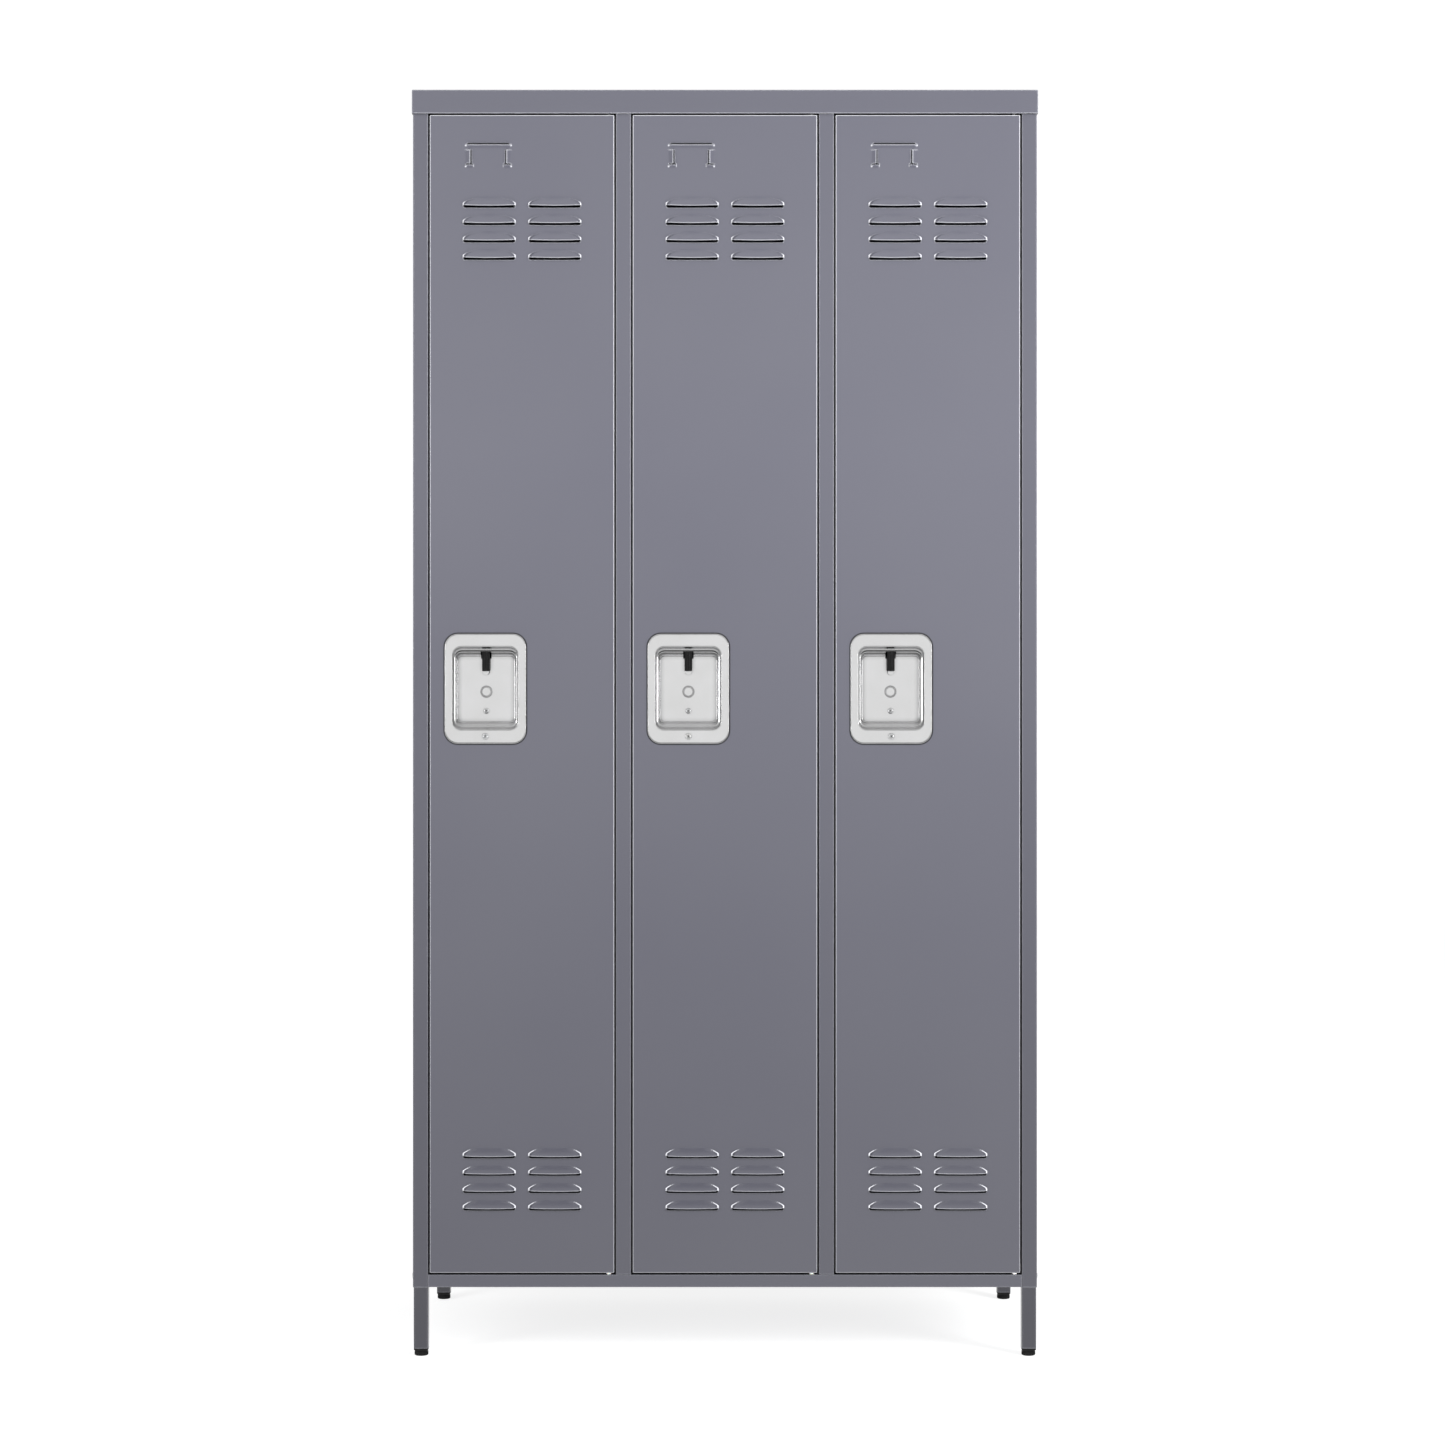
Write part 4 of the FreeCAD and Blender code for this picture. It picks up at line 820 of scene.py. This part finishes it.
# --- Materials ---
class Nodes:
    """A small builder for a material's node tree."""

    def __init__(self, name):
        self.material = bpy.data.materials.new(name)
        self.material.use_nodes = True
        self.tree = self.material.node_tree
        self.shader = self.tree.nodes["Principled BSDF"]
        self.place = self.make("ShaderNodeTexCoord").outputs["Object"]

    def make(self, kind, **settings):
        node = self.tree.nodes.new(kind)
        for key, value in settings.items():
            setattr(node, key, value)
        return node

    def link(self, source, target):
        self.tree.links.new(source, target)

    def feed(self, socket, value):
        """Gives a socket a node's output, a number or a colour."""
        if isinstance(value, bpy.types.NodeSocket):
            self.link(value, socket)
        elif isinstance(value, tuple):
            socket.default_value = (*value, 1.0)
        else:
            socket.default_value = value

    def attribute(self, name):
        return self.make("ShaderNodeAttribute", attribute_name=name).outputs["Fac"]

    def stretched(self, scale):
        """The object's coordinates, scaled along each axis."""
        node = self.make("ShaderNodeMapping")
        node.inputs["Scale"].default_value = scale
        self.link(self.place, node.inputs["Vector"])
        return node.outputs["Vector"]

    def noise(self, scale, detail=3.0, roughness=0.5, place=None):
        node = self.make("ShaderNodeTexNoise")
        node.inputs["Scale"].default_value = scale
        node.inputs["Detail"].default_value = detail
        node.inputs["Roughness"].default_value = roughness
        self.link(place or self.place, node.inputs["Vector"])
        return node.outputs["Fac"]

    def cells(self, scale):
        node = self.make("ShaderNodeTexVoronoi")
        node.inputs["Scale"].default_value = scale
        self.link(self.place, node.inputs["Vector"])
        return node.outputs["Distance"]

    def spread(self, value, low, high, start=0.3, end=0.7):
        """The value's range from start to end, stretched over low to high."""
        node = self.make("ShaderNodeMapRange")
        node.inputs["From Min"].default_value = start
        node.inputs["From Max"].default_value = end
        node.inputs["To Min"].default_value = low
        node.inputs["To Max"].default_value = high
        self.link(value, node.inputs["Value"])
        return node.outputs["Result"]

    def blend(self, factor, one, other):
        node = self.make("ShaderNodeMix", data_type="RGBA")
        self.feed(node.inputs[0], factor)
        self.feed(node.inputs[6], one)
        self.feed(node.inputs[7], other)
        return node.outputs[2]

    def combine(self, operation, one, other):
        node = self.make("ShaderNodeMath", operation=operation)
        self.feed(node.inputs[0], one)
        self.feed(node.inputs[1], other)
        return node.outputs[0]

    def bump(self, height, distance, under=None):
        """Relief of a depth in millimetres, over another one if that is given."""
        node = self.make("ShaderNodeBump")
        node.inputs["Strength"].default_value = 1.0
        node.inputs["Distance"].default_value = distance * MM
        self.link(height, node.inputs["Height"])
        if under is not None:
            self.link(under, node.inputs["Normal"])
        return node.outputs["Normal"]

    def edge(self, radius):
        """1 along edges, where a bevelled normal differs from the real one, and 0 on flat faces."""
        bevel = self.make("ShaderNodeBevel", samples=3)
        bevel.inputs["Radius"].default_value = radius * MM
        real = self.make("ShaderNodeNewGeometry").outputs["Normal"]
        dot = self.make("ShaderNodeVectorMath", operation="DOT_PRODUCT")
        self.link(bevel.outputs["Normal"], dot.inputs[0])
        self.link(real, dot.inputs[1])
        return self.spread(dot.outputs["Value"], 1.0, 0.0, 0.88, 0.995)

    def open_to_light(self, distance, low, high):
        """0 in narrow gaps and corners, 1 in the open."""
        node = self.make("ShaderNodeAmbientOcclusion", samples=3)
        node.inputs["Distance"].default_value = distance * MM
        return self.spread(node.outputs["AO"], 0.0, 1.0, low, high)

    def finish(self, colour, roughness, normal, metallic=0.0, **constants):
        self.link(colour, self.shader.inputs["Base Color"])
        self.link(roughness, self.shader.inputs["Roughness"])
        self.link(normal, self.shader.inputs["Normal"])
        self.shader.inputs["Metallic"].default_value = metallic
        for key, value in constants.items():
            self.shader.inputs[key.replace("_", " ")].default_value = value
        return self.material


def powder_coat(name="powder_coat_grey", tone=0.0):
    """Satin grey powder coat with orange peel, light specks and cloudy colour.

    It has painted shade: darker towards the floor, and darker by its tone. Edges have a painted highlight,
    stronger towards the top; the point attribute paints highlights where it is positive and shade in seams
    where it is negative; gaps and corners have painted shade, nearly black.
    """
    n = Nodes(name)
    cloud = n.spread(n.noise(2.3, 2.0), 0.0, 1.0)
    speck = n.spread(n.noise(2600.0, 2.0), 0.0, 1.0, 0.35, 0.65)
    base = n.blend(cloud, (0.094, 0.093, 0.119), (0.105, 0.104, 0.128))
    grained = n.blend(n.combine("MULTIPLY", speck, 0.3), base, (0.137, 0.136, 0.165))
    split = n.make("ShaderNodeSeparateXYZ")
    n.link(n.place, split.inputs[0])
    # painted shade: darker towards the floor, and darker overall by the tone
    low = n.spread(split.outputs["Z"], tone + 0.43, tone, 0.05, 1.3)
    floor_shaded = n.blend(low, grained, (0.0, 0.0, 0.0))
    # painted highlight along the edges, stronger towards the top
    height = n.spread(split.outputs["Z"], 0.3, 1.0, 0.2, 1.5)
    edge_highlighted = n.blend(n.combine("MULTIPLY", n.edge(2.0), height), floor_shaded, (0.50, 0.50, 0.54))
    # painted shade, nearly black, in gaps and corners
    shaded = n.blend(n.open_to_light(7.0, 0.50, 0.97), (0.004, 0.004, 0.006), edge_highlighted)
    # painted highlights where the point attribute is positive, painted shade where it is negative
    painted_light = n.attribute("painted_light")
    lightened = n.blend(painted_light, shaded, (0.72, 0.72, 0.76))
    colour = n.blend(n.combine("MULTIPLY", painted_light, -1.0), lightened, (0.004, 0.004, 0.006))
    roughness = n.spread(n.noise(9.0, 3.0), 0.38, 0.48)
    peel = n.bump(n.noise(520.0, 2.0, 0.45), 0.035)
    normal = n.bump(n.noise(2100.0, 1.0), 0.006, under=peel)
    return n.finish(colour, roughness, normal, Coat_Weight=0.6, Coat_Roughness=0.14, Specular_IOR_Level=0.3)


def stainless_steel():
    """Drawn stainless sheet with a faint vertical grain."""
    n = Nodes("stainless_steel_satin")
    grain = n.noise(260.0, 3.0, 0.5, n.stretched((9.0, 9.0, 0.35)))
    smear = n.spread(n.noise(24.0, 2.0), 0.0, 1.0)
    unshaded = n.blend(smear, (0.63, 0.63, 0.63), (0.66, 0.66, 0.665))
    # painted shade on the pan's walls and in its corners
    colour = n.blend(n.open_to_light(9.0, 0.36, 0.80), (0.04, 0.04, 0.043), unshaded)
    rough = n.combine("ADD", n.spread(grain, 0.145, 0.165), n.spread(n.noise(60.0, 3.0), 0.0, 0.01))
    normal = n.bump(grain, 0.0008)
    return n.finish(colour, rough, normal, 1.0)


def zinc_plated_steel():
    """Bright zinc plate: cloudy, with a slightly blue cast and fine pits."""
    n = Nodes("zinc_plate")
    cloud = n.spread(n.noise(85.0, 4.0, 0.6), 0.0, 1.0)
    base = n.blend(cloud, (0.62, 0.64, 0.66), (0.74, 0.74, 0.74))
    warm = n.spread(n.noise(24.0, 2.0), 0.0, 0.2)
    tinted = n.blend(warm, base, (0.60, 0.58, 0.50))
    # painted shade, nearly black, in gaps and corners
    shaded = n.blend(n.open_to_light(4.0, 0.35, 0.85), (0.04, 0.04, 0.04), tinted)
    lightened = n.edge(0.35)
    colour = n.blend(n.combine("MULTIPLY", lightened, 0.6), shaded, (0.80, 0.80, 0.80))
    rough = n.spread(n.noise(140.0, 4.0), 0.22, 0.34)
    normal = n.bump(n.noise(1500.0, 3.0), 0.005)
    return n.finish(colour, rough, normal, 1.0)


def chromed_tube():
    """Polished chrome with faint wipe marks."""
    n = Nodes("chrome")
    wipe = n.noise(30.0, 4.0, 0.6, n.stretched((0.4, 5.0, 5.0)))
    colour = n.blend(n.spread(wipe, 0.0, 1.0), (0.74, 0.75, 0.76), (0.80, 0.80, 0.80))
    rough = n.spread(wipe, 0.05, 0.14)
    normal = n.bump(n.noise(300.0, 2.0), 0.001)
    return n.finish(colour, rough, normal, 1.0)


def spring_steel():
    """Oiled drawn wire."""
    n = Nodes("spring_wire")
    drawn = n.noise(900.0, 3.0)
    colour = n.blend(n.spread(drawn, 0.0, 1.0), (0.36, 0.35, 0.34), (0.47, 0.46, 0.45))
    rough = n.spread(n.noise(400.0, 3.0), 0.24, 0.36)
    return n.finish(colour, rough, n.bump(drawn, 0.004), 1.0)


def black_plastic():
    """Moulded black plastic with a fine leather grain."""
    n = Nodes("moulded_black_plastic")
    grain = n.cells(1400.0)
    dust = n.spread(n.noise(180.0, 4.0), 0.0, 0.5, 0.45, 0.75)
    base = n.blend(dust, (0.006, 0.006, 0.006), (0.014, 0.014, 0.015))
    colour = n.blend(n.combine("MULTIPLY", n.edge(0.4), 0.4), base, (0.04, 0.04, 0.04))
    rough = n.spread(n.noise(300.0, 3.0), 0.28, 0.42)
    return n.finish(colour, rough, n.bump(grain, 0.03), Specular_IOR_Level=0.15)


def white_nylon():
    """Natural nylon, slightly translucent and yellowish."""
    n = Nodes("natural_nylon")
    tone = n.spread(n.noise(120.0, 3.0), 0.0, 1.0)
    colour = n.blend(tone, (0.78, 0.77, 0.72), (0.84, 0.83, 0.79))
    rough = n.spread(n.noise(260.0, 3.0), 0.38, 0.50)
    normal = n.bump(n.noise(1200.0, 2.0), 0.01)
    return n.finish(colour, rough, normal, 0.0, Subsurface_Weight=0.15, Subsurface_Scale=0.002)


def black_rubber():
    """Matt rubber, a little dusty in its low spots."""
    n = Nodes("matt_rubber")
    dust = n.spread(n.noise(90.0, 5.0, 0.6), 0.0, 0.7, 0.42, 0.75)
    colour = n.blend(dust, (0.007, 0.007, 0.007), (0.018, 0.018, 0.017))
    rough = n.spread(n.noise(150.0, 3.0), 0.66, 0.82)
    return n.finish(colour, rough, n.bump(n.noise(900.0, 4.0, 0.6), 0.04), Specular_IOR_Level=0.12)


MATERIALS = {
    maker.__name__: maker()
    for maker in (powder_coat, stainless_steel, zinc_plated_steel, chromed_tube,
                  spring_steel, black_plastic, white_nylon, black_rubber)
}

# the legs and the frame get copies of the paint with painted shade, a little darker than the doors'
SHADED_COATS = {
    "leg_": powder_coat("powder_coat_legs_shaded", 0.27),
    "side_panel_": powder_coat("powder_coat_sides_shaded", 0.12),
    "mullion_": powder_coat("powder_coat_mullions_shaded", 0.05),
    "top_cover": powder_coat("powder_coat_top_shaded", 0.06),
}


def dress_cad_nodes():
    """Every CAD node takes its slot's material, or the copy with painted shade that its name asks for."""
    for name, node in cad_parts.items():
        for place in node.material_slots:
            slot = place.material.name.split(".")[0]
            place.material = MATERIALS[slot]
            for start, coat in SHADED_COATS.items():
                if slot == "powder_coat" and name.startswith(start):
                    place.material = coat


# --- The object ---
def build_doors():
    """Skin, handle pan and its two rivets on each door."""
    skin = door_mesh()
    pan = pan_mesh()
    floor_rivet = rivet_mesh("floor_rivet", RIVET_RADIUS)
    flange_rivet = rivet_mesh("flange_rivet", FLANGE_RIVET_RADIUS)
    for side in SIDES:
        body = "door_" + side
        left = DOORS[side][0][0]
        middle = left + PAN_MIDDLE
        pan_front = PANS[side][0][1]
        piece("skin_" + side, skin, body, "powder_coat", ["door_skin_" + side], (left, FRONT, 0))
        piece("pan_" + side, pan, body, "stainless_steel", ["handle_pan_" + side], (middle, pan_front, 0))
        piece("floor_rivet_" + side, floor_rivet, body, "zinc_plated_steel", ["pan_rivets_" + side],
              (middle, pan_front + PAN_FLOOR, RIVET_Z))
        piece("flange_rivet_" + side, flange_rivet, body, "zinc_plated_steel", ["pan_rivets_" + side],
              (middle, pan_front, FLANGE_RIVET_Z))


def build_latches():
    """Finger lift, grip and return spring of each latch. Each spring gets a mesh of its own; the real spring
    is squashed as the latch goes up.
    """
    grip_low, grip_high = node_box("finger_grip_left")
    strap_low, strap_high = node_box("finger_lift_left")
    spring_low, spring_high = node_box("latch_spring_left")
    grip = grip_mesh(grip_low, grip_high)
    strap = strap_mesh(strap_low, strap_high)
    spring = spring_mesh(spring_low, spring_high)
    for side in SIDES:
        body = "latch_" + side
        middle = DOORS[side][0][0] + PAN_MIDDLE
        piece("grip_" + side, grip, body, "black_plastic", ["finger_grip_" + side], (middle, 0, 0))
        piece("strap_" + side, strap, body, "stainless_steel", ["finger_lift_" + side], (middle, 0, 0))
        low, high = node_box("latch_spring_" + side)
        axis = (low[0] + high[0]) / 2
        coil = piece("spring_" + side, spring, body, "spring_steel", ["latch_spring_" + side],
                     (axis, 0, 0), weighted=False)
        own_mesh(coil)


def build_feet():
    """Levelling foot and leg plug at each corner."""
    low, high = node_box("levelling_foot_front_left")
    foot = foot_mesh(low, high)
    plug = plug_mesh()
    for name in FEET:
        low, high = node_box("levelling_foot_" + name)
        x = (low[0] + high[0]) / 2
        y = (low[1] + high[1]) / 2
        piece("glide_" + name, foot, "foot_" + name, "black_rubber", ["levelling_foot_" + name], (x, y, 0))
        piece("plug_" + name, plug, "cabinet", "black_plastic", ["foot_plugs"], (x, y, 0))


# --- Studio ---
# places in metres
LIGHT_OUT = 2.6            # to either side
LIGHT_FRONT = -2.5
LIGHT_AIM = -0.22          # the doors' face
SOFTBOX_SIZE = (1.3, 2.0)
SOFTBOX_HEIGHT = 1.7
SOFTBOX_COLOUR = (0.97, 0.99, 1.0)
WHITE_CARD_SIZE = (0.5, 1.1)
WHITE_CARD_HEIGHT = 1.2
FLOOR_SIZE = (12.0, 9.0)
FLOOR_FRONT = -0.95
FLOOR_DROP = 0.0002        # under the feet
CAMERA_PLACE = (-0.022, -5.15, 1.038)
CAMERA_LENS = 85.47
CAMERA_SHIFT = (0.0089, -0.0613)
WORLD_SEEN = 1.05          # white of the background


def add_light(name, size, place, aim, power, colour=(1.0, 1.0, 1.0), mirrored=True):
    """Area light. Without mirrored it lights the paint and leaves no reflection in the steel."""
    data = bpy.data.lights.new(name, "AREA")
    data.shape = "RECTANGLE"
    data.size, data.size_y = size
    data.energy = power
    data.color = colour
    light = bpy.data.objects.new(name, data)
    bpy.context.scene.collection.objects.link(light)
    light.location = place
    light.rotation_mode = "QUATERNION"
    light.rotation_quaternion = (Vector(aim) - Vector(place)).to_track_quat("-Z", "Y")
    light.visible_glossy = mirrored


def add_lights():
    """Two soft boxes that light the paint, the right one stronger, and two cards that shine in the steel."""
    for side, x, power in (("left", -LIGHT_OUT, 52.0), ("right", LIGHT_OUT, 150.0)):
        add_light("softbox_" + side, SOFTBOX_SIZE, (x, LIGHT_FRONT, SOFTBOX_HEIGHT), (0.0, LIGHT_AIM, 1.25),
                  power, SOFTBOX_COLOUR, mirrored=False)
    for side, x in (("left", -LIGHT_OUT), ("right", LIGHT_OUT)):
        add_light("card_" + side, WHITE_CARD_SIZE, (x, LIGHT_FRONT, WHITE_CARD_HEIGHT),
                  (0.0, LIGHT_AIM, 1.0), 14.0)


def add_floor():
    """White sheet just under the feet, reaching far behind the object."""
    bpy.ops.mesh.primitive_grid_add(x_subdivisions=2, y_subdivisions=2, size=1.0)
    floor = bpy.context.object
    floor.name = "floor"
    floor.scale = (*FLOOR_SIZE, 1.0)
    floor.location = (0.0, FLOOR_FRONT + FLOOR_SIZE[1] / 2, -FLOOR_DROP)
    paint = bpy.data.materials.new("studio_floor")
    paint.use_nodes = True
    shader = paint.node_tree.nodes["Principled BSDF"]
    shader.inputs["Base Color"].default_value = (0.35, 0.35, 0.35, 1.0)
    shader.inputs["Roughness"].default_value = 0.85
    shader.inputs["Specular IOR Level"].default_value = 0.1
    shader.inputs["Emission Color"].default_value = (1.0, 1.0, 1.0, 1.0)
    shader.inputs["Emission Strength"].default_value = 0.78
    floor.data.materials.append(paint)


def add_world():
    """White for the camera, and for all else a bright card in front, a dark ring round it and bright sides.

    It is dimmer behind and below.
    """
    world = bpy.data.worlds.new("studio")
    world.use_nodes = True
    tree = world.node_tree
    shade = tree.nodes["Background"]
    place = tree.nodes.new("ShaderNodeTexCoord")
    split = tree.nodes.new("ShaderNodeSeparateXYZ")
    tree.links.new(place.outputs["Generated"], split.inputs[0])

    def ramp(source, start, end, low, high):
        node = tree.nodes.new("ShaderNodeMapRange")
        node.interpolation_type = "SMOOTHSTEP"
        node.inputs["From Min"].default_value = start
        node.inputs["From Max"].default_value = end
        node.inputs["To Min"].default_value = low
        node.inputs["To Max"].default_value = high
        tree.links.new(source, node.inputs["Value"])
        return node.outputs["Result"]

    def combine(operation, one, other):
        node = tree.nodes.new("ShaderNodeMath")
        node.operation = operation
        tree.links.new(one, node.inputs[0])
        tree.links.new(other, node.inputs[1])
        return node.outputs[0]

    below = ramp(split.outputs["Z"], -0.6, -0.2, 0.4, 1.0)
    above = ramp(split.outputs["Z"], 0.3, 0.9, 1.0, 1.1)
    card = ramp(split.outputs["Y"], -0.97, -0.93, 1.1, 0.12)
    ring = ramp(split.outputs["Y"], -0.84, -0.74, 0.0, 1.0)
    fall = ramp(split.outputs["Y"], -0.4, -0.1, 0.0, -0.7)
    level = combine("ADD", combine("ADD", card, ring), fall)
    around = combine("MULTIPLY", combine("MULTIPLY", level, above), below)
    path = tree.nodes.new("ShaderNodeLightPath")
    seen = tree.nodes.new("ShaderNodeMix")
    tree.links.new(path.outputs["Is Camera Ray"], seen.inputs[0])
    tree.links.new(around, seen.inputs[2])
    seen.inputs[3].default_value = WORLD_SEEN
    tree.links.new(seen.outputs[0], shade.inputs["Strength"])
    shade.inputs["Color"].default_value = (1.0, 1.0, 1.0, 1.0)
    bpy.context.scene.world = world


def add_camera():
    """Level camera in front of the middle door, shifted down to take in the legs, as in the photo."""
    data = bpy.data.cameras.new("camera")
    data.sensor_width = 36.0
    data.lens = CAMERA_LENS
    data.shift_x, data.shift_y = CAMERA_SHIFT
    camera = bpy.data.objects.new("camera", data)
    bpy.context.scene.collection.objects.link(camera)
    camera.location = CAMERA_PLACE
    camera.rotation_euler = (math.radians(90), 0, 0)
    bpy.context.scene.camera = camera


dress_cad_nodes()
build_doors()
build_latches()
build_feet()
add_floor()
add_world()
add_lights()
add_camera()
bpy.context.scene.view_settings.view_transform = "Standard"
